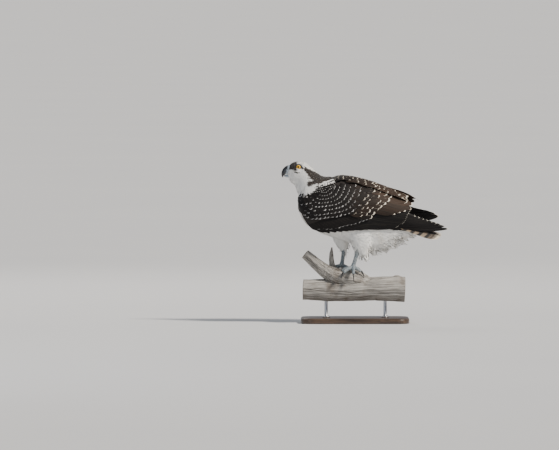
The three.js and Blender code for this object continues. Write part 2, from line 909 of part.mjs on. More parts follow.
add("tail", without(tail(), [grownFlesh]), "plumage_dark");
const grownThighs = legs.map(([, leg]) => thigh(leg, GAP));
add("wing_left", without(wing(-1), [grownFlesh, tailRoom(), ...grownThighs]), "plumage_dark");
add("wing_right", without(wing(1), [grownFlesh, tailRoom(), ...grownThighs]), "plumage_dark");

const grips = [];
for (const [name, leg] of legs) {
  const shank = tarsus(leg);
  const claws = leg.toes.map((toe) => claw(leg, toe));
  add(`thigh_${name}`, without(thigh(leg), [grownFlesh]), "plumage_white");
  add(`tarsus_${name}`, without(shank, [thigh(leg, GAP), foot(leg, GAP)]), "skin");
  add(`foot_${name}`, foot(leg), "skin");
  leg.toes.forEach((toe, i) => add(`claw_${name}_${toe.name}`, without(claws[i], [foot(leg, GAP)]), "claw"));
  grips.push(foot(leg, GAP), ...leg.toes.map((toe) => claw(leg, toe, GAP)));
}

const grownRods = ROD.places.map((x) => rod(x, GAP));
add("perch_branch", without(mainStem(), grips), "dead_wood");
add("perch_side_branch", without(sideStem(), [mainStem(GAP), ...grips]), "dead_wood");
add("perch_twig", without(twig(), [mainStem(GAP), sideStem(GAP), ...grips]), "dead_wood");
add("stand_base", without(standBase(), grownRods), "stand_wood");
ROD.places.forEach((x, i) => {
  add(`stand_rod_${i ? "rear" : "front"}`, without(rod(x), [mainStem(GAP)]), "stand_steel");
});

export default model;
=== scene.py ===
# The looks of a life-size osprey on a cut length of dead branch, on a plain display stand.
# Sizes and places are in millimetres and become metres when a mesh is made. +Z is up, the bird faces
# -X, and its left side is towards -Y.
import itertools
import math

import bmesh
import bpy
import numpy as np
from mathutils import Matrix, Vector
from mathutils.bvhtree import BVHTree


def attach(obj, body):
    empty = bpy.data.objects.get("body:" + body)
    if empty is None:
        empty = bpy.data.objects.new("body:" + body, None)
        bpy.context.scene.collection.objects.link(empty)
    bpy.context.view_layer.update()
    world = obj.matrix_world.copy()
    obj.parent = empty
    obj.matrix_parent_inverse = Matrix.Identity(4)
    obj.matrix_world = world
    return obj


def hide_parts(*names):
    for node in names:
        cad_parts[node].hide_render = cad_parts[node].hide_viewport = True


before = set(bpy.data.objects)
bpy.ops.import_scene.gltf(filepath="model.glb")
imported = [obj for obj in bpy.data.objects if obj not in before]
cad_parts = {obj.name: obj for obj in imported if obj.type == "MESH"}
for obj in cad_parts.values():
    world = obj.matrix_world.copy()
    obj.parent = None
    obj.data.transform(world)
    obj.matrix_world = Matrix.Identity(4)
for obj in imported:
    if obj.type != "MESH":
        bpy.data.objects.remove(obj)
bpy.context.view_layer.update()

MM = 0.001
SEED = 11
BAKE_MAP = "OFBake"
PATCH = 0.003  # how wide one small feather is on the BAKE_MAP uv layout

# Curves and small maths


def ease(t):
    t = np.clip(t, 0, 1)
    return t * t * (3 - 2 * t)


def lerp(a, b, t):
    return a + (b - a) * t


def through(pairs):
    """A smooth curve through [at, value, ...] rows, level past both ends."""
    table = np.array(pairs, float)
    at, value = table[:, 0], table[:, 1:]
    count = len(at)
    before = np.maximum(np.arange(count) - 1, 0)
    after = np.minimum(np.arange(count) + 1, count - 1)
    slope = (value[after] - value[before]) / (at[after] - at[before])[:, None]

    def curve(x):
        x = np.clip(np.asarray(x, float), at[0], at[-1])
        i = np.clip(np.searchsorted(at, x, side="right") - 1, 0, count - 2)
        wide = (at[i + 1] - at[i])[..., None]
        t = (x - at[i])[..., None] / wide
        found = value[i] * (1 + 2 * t) * (1 - t) ** 2 + value[i + 1] * t * t * (3 - 2 * t)
        found = found + slope[i] * wide * t * (1 - t) ** 2 - slope[i + 1] * wide * t * t * (1 - t)
        return found[..., 0] if found.shape[-1] == 1 else found

    return curve


def run_along(points):
    """How far along a line each of its points is."""
    return np.concatenate([[0], np.cumsum(np.linalg.norm(np.diff(points, axis=0), axis=1))])


def read_off(at, knots, rows):
    """Values at a place, on straight lines between the knots' rows."""
    return np.stack([np.interp(at, knots, part) for part in rows.T], -1)


def along_line(points, shares):
    """Points at shares of the way along a smooth line through points."""
    fine = through([[i, *p] for i, p in enumerate(points)])(np.linspace(0, len(points) - 1, 400))
    run = run_along(fine)
    return read_off(np.asarray(shares) * run[-1], run, fine)


def unit(v):
    return v / np.maximum(np.linalg.norm(v, axis=-1, keepdims=True), 1e-9)


def wander(t, seed):
    """A slow wavy line between about -1 and 1."""
    rng = np.random.default_rng(seed)
    waves = (np.sin(t * rng.uniform(0.6, 1.6) * n + rng.uniform(0, 6.3)) / n for n in range(1, 6))
    return sum(waves) / 1.9


# Finishes: shaders written as expressions


class Level:
    """A value that varies over a surface. Sums, products and the like of it add Math nodes."""

    def __init__(self, finish, socket):
        self.finish = finish
        self.socket = socket

    def math(self, operation, *values):
        node = self.finish.node("Math", {"operation": operation}, enumerate(values))
        return Level(self.finish, node.outputs[0])

    def __add__(self, other):
        return self.math("ADD", self, other)

    def __sub__(self, other):
        return self.math("SUBTRACT", self, other)

    def __rsub__(self, other):
        return self.math("SUBTRACT", other, self)

    def __mul__(self, other):
        return self.math("MULTIPLY", self, other)

    def __truediv__(self, other):
        return self.math("DIVIDE", self, other)

    __radd__ = __add__
    __rmul__ = __mul__

    def size(self):
        return self.math("ABSOLUTE", self)

    def root(self):
        return self.math("SQRT", self)

    def wave(self):
        return self.math("SINE", self)

    def most(self, other):
        return self.math("MAXIMUM", self, other)

    def between(self, low, high):
        """0 below low and 1 above high, with a smooth step between, or the reverse if low > high."""
        limits = {"From Min": low, "From Max": high, "Value": self}
        node = self.finish.node("MapRange", {"interpolation_type": "SMOOTHSTEP"}, limits)
        return Level(self.finish, node.outputs[0])


class Finish:
    """A procedural material."""

    def __init__(self, name, roughness=0.6, **constants):
        self.material = bpy.data.materials.new(name)
        self.material.use_nodes = True
        self.tree = self.material.node_tree
        self.shader = self.tree.nodes["Principled BSDF"]
        self.shade(Roughness=roughness, **constants)

    def feed(self, node, values):
        pairs = values.items() if isinstance(values, dict) else values
        for key, value in pairs:
            if isinstance(value, Level):
                self.tree.links.new(value.socket, node.inputs[key])
            else:
                node.inputs[key].default_value = value

    def shade(self, **values):
        """Values and links for the shader's own sockets, named with _ in place of a space."""
        self.feed(self.shader, {key.replace("_", " "): value for key, value in values.items()})

    def node(self, kind, settings=None, values=()):
        made = self.tree.nodes.new("ShaderNode" + kind)
        for key, value in (settings or {}).items():
            if key == "stops":
                for i, (at, color) in enumerate(value):
                    stops = made.color_ramp.elements
                    stop = stops[i] if i < 2 else stops.new(at)
                    stop.position = at
                    stop.color = (*color, 1)
            else:
                setattr(made, key, value)
        self.feed(made, values)
        return made

    def attribute(self, name):
        return Level(self, self.node("Attribute", {"attribute_name": name}).outputs["Vector"])

    def place(self):
        """The place on the object, in metres."""
        return Level(self, self.node("TexCoord").outputs["Object"])

    def split(self, vector):
        node = self.node("SeparateXYZ", None, {0: vector})
        return [Level(self, socket) for socket in node.outputs]

    def scaled(self, vector, factors):
        node = self.node("VectorMath", {"operation": "MULTIPLY"}, {0: vector, 1: factors})
        return Level(self, node.outputs[0])

    def noise(self, vector, scale, detail=2.0, roughness=0.5):
        values = {"Vector": vector, "Scale": scale, "Detail": detail, "Roughness": roughness}
        return Level(self, self.node("TexNoise", None, values).outputs[0])

    def cells(self, vector, scale):
        """How far each place is from the nearest edge between cells."""
        node = self.node("TexVoronoi", {"feature": "DISTANCE_TO_EDGE"}, {"Vector": vector, "Scale": scale})
        return Level(self, node.outputs["Distance"])

    def mix(self, factor, a, b):
        colour = [(*c, 1) if isinstance(c, tuple) else c for c in (a, b)]
        node = self.node("Mix", {"data_type": "RGBA"}, {0: factor, 6: colour[0], 7: colour[1]})
        return Level(self, node.outputs[2])

    def profile(self, level, pairs):
        """A height for each value, read off straight lines through [value, height] pairs."""
        at, height = np.array(pairs, float).T
        low, span = height.min(), max(np.ptp(height), 1e-6)
        stops = [((a - at[0]) / np.ptp(at), ((h - low) / span,) * 3) for a, h in zip(at, height)]
        node = self.node("ValToRGB", {"stops": stops}, {0: (level - at[0]) / np.ptp(at)})
        return Level(self, node.outputs[0]) * span + low

    def done(self, color, bump=None, strength=0.3, depth=0.3, **varying):
        """The material, with a bump whose depth is in millimetres."""
        self.shade(Base_Color=color, **varying)
        if bump is not None:
            node = self.node("Bump", None, {"Strength": strength, "Distance": depth * MM, "Height": bump})
            self.shade(Normal=Level(self, node.outputs[0]))
        return self.material


def oval(x, z, middle, radii):
    """0 in the middle of an oval that is seen from the side, and 1 on its edge."""
    a, b = (x - middle[0]) / radii[0], (z - middle[1]) / radii[1]
    return a * a + b * b


# Plumage colours. Markings are by place on the body, in millimetres, the same on both sides.

DARK = (0.009, 0.0065, 0.0056)
BROWN = (0.034, 0.021, 0.014)
CREAM = (0.62, 0.53, 0.4)
WHITE = (0.84, 0.83, 0.8)
FRINGE = (0.78, 0.74, 0.66)


def marked(finish, root):
    """The plumage colour at a place: white with a dark eye stripe, forecrown and mantle."""
    x, y, z = (part * (1 / MM) for part in finish.split(root))
    y = y.size()
    mottle = finish.noise(root, 240.0, 2.0)
    drift = (mottle - 0.5) * 4
    # stripe from behind the eye to the hindneck
    upper = finish.profile(x, [[-166, 481], [-156, 479], [-134, 467], [-112, 456], [-90, 449]])
    lower = finish.profile(x, [[-166, 473], [-153, 462], [-142, 449], [-132, 439], [-110, 434], [-90, 432]])
    band = (z + drift - lower).between(-1, 1) * (upper - z - drift).between(-1, 1)
    stripe = band * x.between(-167, -164) * x.between(-84, -90)
    stripe = stripe * y.between(6, 10).most((x + drift).between(-128, -118))
    # forecrown patch, down to the front of the eye
    top = finish.profile(x, [[-210, 480], [-200, 488], [-190, 492], [-182, 491], [-176, 486]])
    under = finish.profile(x, [[-210, 468], [-198, 467], [-186, 464], [-178, 465], [-172, 469]])
    patch = (top + 3 - z - drift).between(-1, 1) * (z + drift - under).between(-1, 1)
    patch = patch * (x + drift * 0.6).between(-177, -181)
    lore = 1 - (z - 461 + drift * 0.3).size().between(0.8, 2.2)
    lore = lore * x.between(-192, -188) * x.between(-168, -173)
    # mantle: all above the shoulders, from the hindneck back
    shoulder = [[-160, 430], [-145, 419], [-128, 425], [-108, 429], [-68, 436], [-40, 380], [0, 340]]
    shoulder = finish.profile(x, shoulder)
    mantle = (z + drift - shoulder).between(-1.5, 1.5) * (x + drift).between(-150, -145)
    free = (z - upper + drift).between(-1, 2) * (x + drift).between(-116, -121)
    between_bars = finish.profile(x, [[-150, 431], [-132, 436], [-108, 440], [-86, 447]])
    speckled = (z - between_bars).between(-1.5, 1.5) * (1 - stripe) * x.between(-96, -112)
    mantle = mantle * (1 - free) * (1 - speckled * mottle.between(0.42, 0.56))
    over_tail = finish.profile(x, [[60, 372], [120, 330], [185, 286]])
    rump = (x + drift).between(62, 80) * (z - over_tail).between(-2, 4)
    # white crescents over and under the eye
    crescent = 1 - (oval(x, z, (-171, 476), (12, 12)) - 1).size().between(0.16, 0.3)
    crescent = crescent * ((z - 476).size() + (x + 171) * 0.8).between(2, 5)
    dark = stripe.most(patch).most(lore).most(mantle).most(rump) * (1 - crescent * y.between(8, 12))
    # faint buff on the breast and grey flecks low on the neck
    breast = 1 - ((x + 150) / 26).size().between(0.5, 1.2)
    breast = breast * z.between(402, 380) * mottle.between(0.5, 0.62)
    flecks = finish.noise(root, 620.0, 1.0).between(0.64, 0.68)
    flecks = flecks * z.between(424, 412) * z.between(396, 404)
    # painted warm light: cream patches on the white towards the tail
    warm = finish.noise(root, 34.0, 2.0).between(0.48, 0.66) * x.between(10, 120)
    white = finish.mix(warm * 0.55, WHITE, CREAM)
    white = finish.mix(breast * 0.5, white, (0.5, 0.37, 0.24))
    white = finish.mix(flecks * 0.7, white, (0.2, 0.19, 0.2))
    brown = finish.mix(mottle.between(0.35, 0.7), DARK, BROWN)
    return finish.mix(dark, white, brown), dark


def skin_finish():
    """The surface under the coat: its markings, muted to the tone of down."""
    finish = Finish("plumage_ground", 0.85)
    color, dark = marked(finish, finish.place())
    down = finish.mix(dark, (0.5, 0.48, 0.45), DARK)
    return finish.done(finish.mix(0.25, color, down), finish.noise(finish.place(), 900.0, 3.0), 0.5, 0.8)


def coat_finish():
    """Small body feathers: each takes the marking at its root, and is a little different in tone."""
    finish = Finish("plumage_coat", 0.8, Sheen_Weight=0.15, Sheen_Roughness=0.5)
    color, dark = marked(finish, finish.attribute("root"))
    from_tip, across, along = finish.split(finish.attribute("vane"))
    tone, fringe, _ = finish.split(finish.attribute("kind"))
    off_tone = finish.mix(dark, (0.6, 0.58, 0.55), (0.016, 0.012, 0.01))
    color = finish.mix((tone - 0.5).size() * 0.16, color, off_tone)
    pale = (from_tip - fringe * (1 - across * across * 0.4)).between(0.4, -0.4) * dark
    color = finish.mix(pale * 0.9, color, FRINGE)
    barbs = ((along - across.size() * 1.6) * 9.0).wave()
    return finish.done(color, barbs, 0.25, 0.15)


def vane_finish(name, ground, painted_sunlit, fringe_color):
    """Long feathers: a dark web, shown in shade and as far as warm says in a painted sunlit brown, with a
    pale fringe at the tip, a shaft and fine barbs.
    """
    finish = Finish(name, 0.65, Specular_IOR_Level=0.2)
    from_tip, across, along = finish.split(finish.attribute("vane"))
    tone, fringe, warm = finish.split(finish.attribute("kind"))
    rough = finish.noise(finish.place(), 500.0, 2.0)
    streak = finish.noise(finish.scaled(finish.attribute("streak"), (0.02, 1.0, 1.0)), 1.3, 3.0)
    # painted light: warm and the streaks mix the web from its colour in shade towards a painted sunlit brown
    web = finish.mix((warm + (streak - 0.5) * 0.9).between(0.15, 1.0), ground, painted_sunlit)
    web = finish.mix((tone - 0.5) * 0.5 + 0.25, web, ground)
    edge = across.size()
    pale = (from_tip - fringe * (1.12 - edge * edge * 1.05) + (rough - 0.5) * 1.4).between(0.4, -0.4)
    side = (edge - 0.91 + (rough - 0.5) * 0.12).between(0, 0.05)
    side = side * fringe.between(2.0, 3.4) * from_tip.between(16, 6)
    color = finish.mix(pale.most(side * 0.6), web, fringe_color)
    shaft = edge.between(0.06, 0.03)
    color = finish.mix(shaft * 0.5, color, finish.mix(0.04, ground, CREAM))
    barbs = ((along - edge * 7.0) * 5.2).wave()
    return finish.done(color, barbs * (1 - shaft) + shaft * 2, 0.22, 0.2)


def ground_finish():
    """The dark down under a wing's feathers."""
    finish = Finish("wing_down", 0.9)
    fluffy = finish.noise(finish.place(), 420.0, 3.0)
    return finish.done(finish.mix(fluffy, (0.006, 0.005, 0.0048), (0.02, 0.014, 0.011)), fluffy, 0.5, 0.6)


def tail_finish():
    """Tail feathers: dark bars 24 mm apart, a dusky band and a buff tip. The inner webs are paler."""
    finish = Finish("tail_bars", 0.6, Sheen_Weight=0.15)
    from_tip, across, along = finish.split(finish.attribute("vane"))
    warm = finish.split(finish.attribute("kind"))[2]
    rough = finish.noise(finish.place(), 260.0, 2.0)
    edge = across.size()
    wavy = from_tip + (rough - 0.5) * 5 + edge * 4
    bars = (wavy * (2 * math.pi / 24)).wave().between(-0.15, 0.25) * from_tip.between(10, 13)
    web = finish.mix(edge.between(0.1, 0.9) * (1 - warm), (0.075, 0.046, 0.03), (0.36, 0.28, 0.2))
    color = finish.mix(bars, web, DARK)
    dusk = from_tip.between(24, 14) * from_tip.between(7, 10)
    color = finish.mix(dusk * 0.8, color, DARK)
    color = finish.mix(from_tip.between(7.5, 5.5), color, (0.74, 0.66, 0.53))
    shaft = edge.between(0.06, 0.03)
    color = finish.mix(shaft * 0.6, color, (0.3, 0.2, 0.12))
    barbs = ((along - edge * 8.0) * 5.0).wave()
    return finish.done(color, barbs * (1 - shaft) + shaft * 2, 0.2, 0.2)


def horn_finish(name, tip_color, base_color, base_at):
    """Bill horn: pale grey-blue at the base, up to base_at in x, and glossy black beyond."""
    finish = Finish(name, 0.25, Coat_Weight=0.4)
    place = finish.place()
    x, _, z = (part * (1 / MM) for part in finish.split(place))
    cloud = finish.noise(place, 160.0, 3.0)
    base = (x + (cloud - 0.5) * 9 - (z - 462) * 0.35).between(base_at - 2.5, base_at + 2.5)
    color = finish.mix(base, tip_color, base_color)
    color = finish.mix(cloud.between(0.45, 0.75) * base * 0.5, color, (0.05, 0.06, 0.07))
    nostril = oval(x, z, (-205.6, 468.4), (2.6, 1.2)).between(1.15, 0.7)
    color = finish.mix(nostril, color, (0.003, 0.003, 0.004))
    growth = finish.noise(finish.scaled(place, (1.0, 0.3, 1.0)), 700.0, 2.0)
    return finish.done(color, growth, 0.12, 0.3, Roughness=cloud * 0.2 + 0.22 + base * 0.18)


def claw_finish():
    """Polished black horn, greyer at the root."""
    finish = Finish("claw_horn", 0.22, Coat_Weight=0.5)
    grain = finish.attribute("grain")
    along = finish.split(grain)[0]
    cloud = finish.noise(finish.scaled(grain, (0.15, 1.0, 1.0)), 0.9, 3.0)
    color = finish.mix(cloud.between(0.4, 0.8), (0.009, 0.009, 0.0105), (0.035, 0.033, 0.032))
    color = finish.mix(along.between(3, 0), color, (0.13, 0.14, 0.145))
    return finish.done(color, cloud, 0.15, 0.3, Roughness=cloud * 0.25 + 0.12)


def leg_finish():
    """Scaly skin: pale blue-grey plates, darker in the seams."""
    finish = Finish("leg_scales", 0.5)
    grain = finish.attribute("grain")
    seams = finish.cells(grain, 0.42)
    cloud = finish.noise(finish.place(), 120.0, 3.0)
    color = finish.mix(cloud.between(0.35, 0.7), (0.2, 0.24, 0.27), (0.4, 0.43, 0.43))
    color = finish.mix(seams.between(0.16, 0.02) * 0.8, color, (0.05, 0.065, 0.08))
    return finish.done(color, seams.between(0.0, 0.3), 0.7, 0.5, Roughness=cloud * 0.25 + 0.35)


def wood_finish():
    """Weathered wood: silver streaks and cracks along the grain, painted dark as the shade inside them, and
    rings on a cut end.
    """
    finish = Finish("dead_wood", 0.9)
    grain = finish.attribute("grain")
    cut, _, split = finish.split(finish.attribute("cut"))
    _, a, b = finish.split(grain)
    fine = finish.noise(finish.scaled(grain, (0.018, 1.0, 1.0)), 0.75, 4.0, 0.65)
    broad = finish.noise(finish.scaled(grain, (0.008, 0.06, 0.06)), 1.0, 3.0)
    blotch = finish.noise(finish.place(), 26.0, 4.0, 0.6)
    color = finish.mix(fine.between(0.34, 0.68), (0.06, 0.053, 0.047), (0.47, 0.445, 0.405))
    color = finish.mix(broad.between(0.45, 0.72) * 0.5, color, (0.6, 0.565, 0.51))
    color = finish.mix(blotch.between(0.5, 0.7) * 0.6, color, (0.13, 0.1, 0.075))
    # painted shade: the wood darkens with how deep a groove is, as the shade inside a crack
    color = finish.mix(split * 0.85, color, (0.03, 0.024, 0.02))
    rings = (((a * a + b * b).root() + (blotch - 0.5) * 3) * 2.6).wave().between(-0.6, 0.9)
    face = finish.mix(rings, (0.13, 0.105, 0.08), (0.3, 0.255, 0.2))
    # painted shade: dark splits drawn on a cut end, as the shade inside a crack
    face = finish.mix(split * 0.9, face, (0.04, 0.03, 0.025))
    color = finish.mix(cut, color, face)
    return finish.done(color, fine * (1 - cut) + rings * cut * 0.4, 0.75, 0.9)


def board_finish():
    """Dark stained hardwood, satin."""
    finish = Finish("stand_wood", 0.4, Coat_Weight=0.25, Coat_Roughness=0.25)
    place = finish.place()
    grain = finish.noise(finish.scaled(place, (2.2, 26.0, 14.0)), 4.0, 4.0, 0.62)
    pores = finish.noise(finish.scaled(place, (40.0, 900.0, 300.0)), 1.0, 1.0)
    color = finish.mix(grain.between(0.3, 0.7), (0.028, 0.0165, 0.011), (0.088, 0.052, 0.031))
    color = finish.mix(pores.between(0.62, 0.72) * 0.7, color, (0.012, 0.008, 0.006))
    return finish.done(color, grain - pores * 0.5, 0.2, 0.25, Roughness=grain * 0.22 + 0.28)


def steel_finish():
    """Steel, brushed round the rod."""
    finish = Finish("stand_steel", 0.3, Metallic=1.0)
    strokes = finish.noise(finish.scaled(finish.place(), (60.0, 60.0, 4000.0)), 1.0, 2.0)
    color = finish.mix(strokes, (0.38, 0.38, 0.39), (0.55, 0.55, 0.56))
    return finish.done(color, strokes, 0.1, 0.1, Roughness=strokes * 0.25 + 0.2)


def eye_finish():
    """Yellow-orange iris with fine spokes, a round pupil and a dark rim, by radius in millimetres."""
    finish = Finish("eye_iris", 0.12, Coat_Weight=0.35, Coat_Roughness=0.02, Specular_IOR_Level=0.25)
    _, a, b = finish.split(finish.attribute("grain"))
    radius = (a * a + b * b).root()
    spokes = finish.noise(finish.attribute("spoke"), 9.0, 3.0)
    color = finish.mix(spokes.between(0.3, 0.75), (0.95, 0.5, 0.02), (0.9, 0.66, 0.06))
    color = finish.mix(radius.between(3.4, 5.4) * 0.55, color, (0.95, 0.36, 0.015))
    color = finish.mix(radius.between(6.2, 6.9), color, (0.012, 0.01, 0.01))
    color = finish.mix(radius.between(3.35, 2.95), color, (0.002, 0.002, 0.002))
    return finish.done(color)


def bare_skin_finish(name, deep, high):
    """Lids and gape: bare skin with fine wrinkles."""
    finish = Finish(name, 0.5)
    wrinkles = finish.noise(finish.place(), 900.0, 3.0)
    color = finish.mix(wrinkles.between(0.35, 0.7), deep, high)
    return finish.done(color, wrinkles, 0.5, 0.3)


def floor_finish():
    """Plain pale floor."""
    finish = Finish("pale_floor", 0.75)
    drift = finish.noise(finish.place(), 0.7, 2.0)
    return finish.done(finish.mix(drift, (0.6, 0.6, 0.61), (0.64, 0.64, 0.64)))


# Making pieces


def linked(name, data):
    """A new object in the scene."""
    made = bpy.data.objects.new(name, data)
    bpy.context.scene.collection.objects.link(made)
    return made


def piece(name, points, faces, material, replaces=(), layers=None):
    """A mesh piece from points in millimetres. layers are named vectors, one for each point. The one
    called BAKE_MAP gives each point its place on a uv map of that name."""
    mesh = bpy.data.meshes.new(name)
    mesh.from_pydata((np.asarray(points) * MM).tolist(), [], faces)
    for key, values in (layers or {}).items():
        values = np.asarray(values, np.float32)
        if key == BAKE_MAP:
            corners = np.zeros(len(mesh.loops), np.int32)
            mesh.loops.foreach_get("vertex_index", corners)
            mesh.uv_layers.new(name=key).data.foreach_set("uv", values[corners].ravel())
        else:
            mesh.attributes.new(key, "FLOAT_VECTOR", "POINT").data.foreach_set("vector", values.ravel())
    mesh.polygons.foreach_set("use_smooth", [True] * len(mesh.polygons))
    mesh.materials.append(material)
    obj = linked(name, mesh)
    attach(obj, "root")
    if replaces:
        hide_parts(*replaces)
    return obj


def grid_faces(rows, columns, closed=False):
    """Four-sided faces over a grid of points, whose rows close on themselves if asked."""
    r = np.arange(rows - 1)[:, None]
    c = np.arange(columns if closed else columns - 1)[None, :]
    here, step, row = r * columns + c, r * columns + (c + 1) % columns, columns
    return np.stack([here, step, step + row, here + row], -1).reshape(-1, 4)


def repeated(faces, count, size):
    """The faces of one grid, again for each of count grids of size points."""
    return (faces[None] + (np.arange(count) * size)[:, None, None]).reshape(-1, 4)


def spread(grid, *parts):
    """Some values for each point of a grid, from parts that vary along one side of it or not at all."""
    return np.stack([np.broadcast_to(part, grid.shape) for part in parts], -1)


def spine(rows, count, across=(0, 1, 0)):
    """Frames along a path of [x, y, z, half depth, half width] rows."""
    table = np.array(rows, float)
    curve = through(np.column_stack([np.linspace(0, 1, len(table)), table]))
    t = np.linspace(0, 1, count)
    at = curve(t)
    ahead = unit(curve(t + 0.01)[:, :3] - curve(t - 0.01)[:, :3])
    up = unit(np.cross(np.broadcast_to(across, ahead.shape), ahead))
    return at[:, :3], up, np.cross(ahead, up), at[:, 3], at[:, 4], run_along(at[:, :3])


def limb(rows, count, sides, across=(0, 1, 0), relief=None, section=None):
    """Points of a rounded body along a path: (count, sides, 3), and its straightened coordinates.
    relief(run, angle) stands out from the surface, and section(angle) scales it."""
    at, up, side, deep, wide, run = spine(rows, count, across)
    angle = np.linspace(0, 2 * math.pi, sides, endpoint=False)
    grown = 1 if section is None else section(angle)
    c, s = np.cos(angle) * grown, np.sin(angle) * grown
    around = up[:, None] * (c * deep[:, None])[..., None] + side[:, None] * (s * wide[:, None])[..., None]
    length = np.linalg.norm(around, axis=-1)
    if relief is not None:
        around = around * (1 + relief(run[:, None], angle[None, :]) / length)[..., None]
    return at[:, None] + around, spread(length, run[:, None], np.cos(angle) * length, np.sin(angle) * length)


def capped(points, straight):
    """A limb's points as (points, faces, layers), with a fan over both ends."""
    count, sides = points.shape[:2]
    flat = np.vstack([points.reshape(-1, 3), points[0].mean(0), points[-1].mean(0)])
    grain = np.vstack([straight.reshape(-1, 3), [[straight[0, 0, 0], 0, 0], [straight[-1, 0, 0], 0, 0]]])
    faces = grid_faces(count, sides, closed=True).tolist()
    first, last, end = count * sides, count * sides + 1, (count - 1) * sides
    for k in range(sides):
        step = (k + 1) % sides
        faces += [[first, step, k], [last, end + k, end + step]]
    return flat, faces, {"grain": grain}


def closed_limb(name, made, material, replaces=(), spoke=None):
    """A piece from a limb's points. spoke is a further vector for each point."""
    flat, faces, layers = capped(*made)
    if spoke is not None:
        layers["spoke"] = spoke
    return piece(name, flat, faces, material, replaces, layers)


def gathered(parts):
    """Several (points, faces, layers) made into one."""
    start, points, faces, layers = 0, [], [], {}
    for own_points, own_faces, own_layers in parts:
        points.append(own_points)
        faces += [[v + start for v in face] for face in own_faces]
        for key, values in own_layers.items():
            layers.setdefault(key, []).append(values)
        start += len(own_points)
    return np.vstack(points), faces, {key: np.vstack(values) for key, values in layers.items()}


# Feathers laid on a surface


def vanes(
    surface, tips, angles, longs, halves, lifts, shape, rows, columns, seed=SEED, fringe=3.0, warm=0.3,
    curl=0.8, ragged=0.05, shingle=1.0, camber=0.07, shaft=0.35, stray=0.12,
):
    """Feathers on a surface. surface(a, b, lift) gives points in space for plane coordinates. Each
    feather ends at its tip and points at its angle, in the plane, below the a axis. lifts is how far
    it stands over the surface at the root and at the tip, and shape its half width along it. curl
    rounds its tip, shingle tilts it, camber bows it, and ragged and stray make it uneven."""
    count = len(tips)
    rng = np.random.default_rng(seed)
    v = np.linspace(0, 1, rows)[None, :, None]
    u = np.array(columns, float)[None, None, :]

    def each(values):
        return np.broadcast_to(np.asarray(values, float), count)[:, None, None]

    longs, halves, angles = each(longs), each(halves), each(angles)
    rounding = curl * ease(v * 1.15 - 0.1)
    uneven = ragged * rng.normal(size=(count, 1, len(columns))) * v**2
    short = longs * (1 - v) + halves * (rounding * u * u + uneven)
    side = halves * through(shape)(v) * u
    run, rise = np.cos(angles), -np.sin(angles)
    a = tips[:, 0, None, None] - run * short - rise * side
    b = tips[:, 1, None, None] - rise * short + run * side
    lift = lerp(each(lifts[0]), each(lifts[1]), ease(np.minimum(1, v * 1.6)))
    lift = lift - shingle * u - camber * halves * u * u
    lift = lift + shaft * (np.abs(u) < 0.03)
    lift = lift + rng.normal(size=(count, 1, 1)) * stray * v
    tone = rng.random((count, 1, 1))
    fringe = each(fringe) * (1 + 0.25 * rng.normal(size=(count, 1, 1)))
    layers = {
        "vane": spread(a, short - halves * rounding * u * u, u, longs * v),
        # warm: on wing and back feathers, how much of the web is painted sunlit brown as painted light; on a
        # tail feather it sets how pale its web is instead
        "kind": spread(a, tone, fringe, each(warm)),
        "streak": spread(a, longs * v, halves * u + 60 * tone, 90 * tone),
    }
    return surface(a, b, lift), layers


def sheets(points, layers, thick=0.0):
    """The points of many feathers as (points, faces, layers), with an underside if they are thick."""
    count, rows, columns = points.shape[:3]
    size = rows * columns
    faces = repeated(grid_faces(rows, columns), count, size)
    flat = points.reshape(-1, 3)
    layers = {key: values.reshape(-1, 3) for key, values in layers.items()}
    if thick:
        normal = unit(np.cross(np.gradient(points, axis=1), np.gradient(points, axis=2)))
        number = np.arange(size).reshape(rows, columns)
        rim = np.concatenate([number[0], number[1:, -1], number[-1, -2::-1], number[-2:0:-1, 0]])
        after, under = np.roll(rim, -1), len(flat)
        edge = repeated(np.stack([rim, rim + under, after + under, after], -1), count, size)
        faces = np.vstack([faces, faces[:, ::-1] + under, edge])
        flat = np.vstack([flat, (points + normal * thick).reshape(-1, 3)])
        layers = {key: np.vstack([values, values]) for key, values in layers.items()}
    return flat, faces.tolist(), layers


def bake_cells(vane, number, across, down):
    """A patch for each numbered feather, side by side in rows, on the BAKE_MAP uv layout."""
    from_tip, u, along = vane.T
    share = np.clip(along / np.maximum(along + from_tip, 1e-6), 0, 1)
    column, row = number % across, number // across
    return np.stack([(column + 0.5 + u * 0.42) / across, (row + 0.08 + share * 0.84) / down], -1)


def feather_piece(name, groups, material, replaces=(), side=None):
    """Groups of feathers as one piece. Each group is what vanes() gives, with a thickness if it has
    one. side turns the points to the right wing."""
    total = sum(len(group[0]) for group in groups)
    across = math.ceil(math.sqrt(total))
    down = math.ceil(total / across)
    parts, first = [], 0
    for points, layers, *thick in groups:
        flat, faces, layers = sheets(points, layers, *thick)
        number = np.repeat(np.arange(len(points)) + first, points[0, ..., 0].size)
        number = np.tile(number, len(flat) // len(number))
        layers[BAKE_MAP] = bake_cells(layers["vane"], number, across, down)
        parts.append((side(flat) if side else flat, faces, layers))
        first += len(points)
    points, faces, layers = gathered(parts)
    return piece(name, points, faces, material, replaces, layers)


# The folded wing's surface, the same as the solids have

wing_low = through(
    [
        [-179, 366], [-168, 335], [-152, 309], [-132, 288], [-108, 274], [-70, 268],
        [0, 271], [60, 280], [137, 283], [235, 279], [290, 282],
    ]
)
wing_high = through(
    [
        [-179, 369], [-168, 390], [-143, 404], [-113, 419], [-76, 436], [-36, 443],
        [36, 426], [110, 398], [165, 372], [235, 316], [290, 288],
    ]
)
wing_out = through(
    [
        [-179, 34], [-170, 54], [-154, 70], [-122, 80], [-80, 82], [-30, 79],
        [40, 71], [110, 59], [180, 48], [240, 41], [290, 37],
    ]
)
wing_round = through([[0, 0.76], [0.25, 0.95], [0.5, 1], [0.75, 0.84], [1, 0.42]])
shoulder_round = through([[0, 0.76], [0.25, 0.95], [0.5, 1], [0.75, 0.86], [1, 0.52]])
WING_LIFT, DRAWN, WING_HINGE = 0.085, 33, (-70, 372)


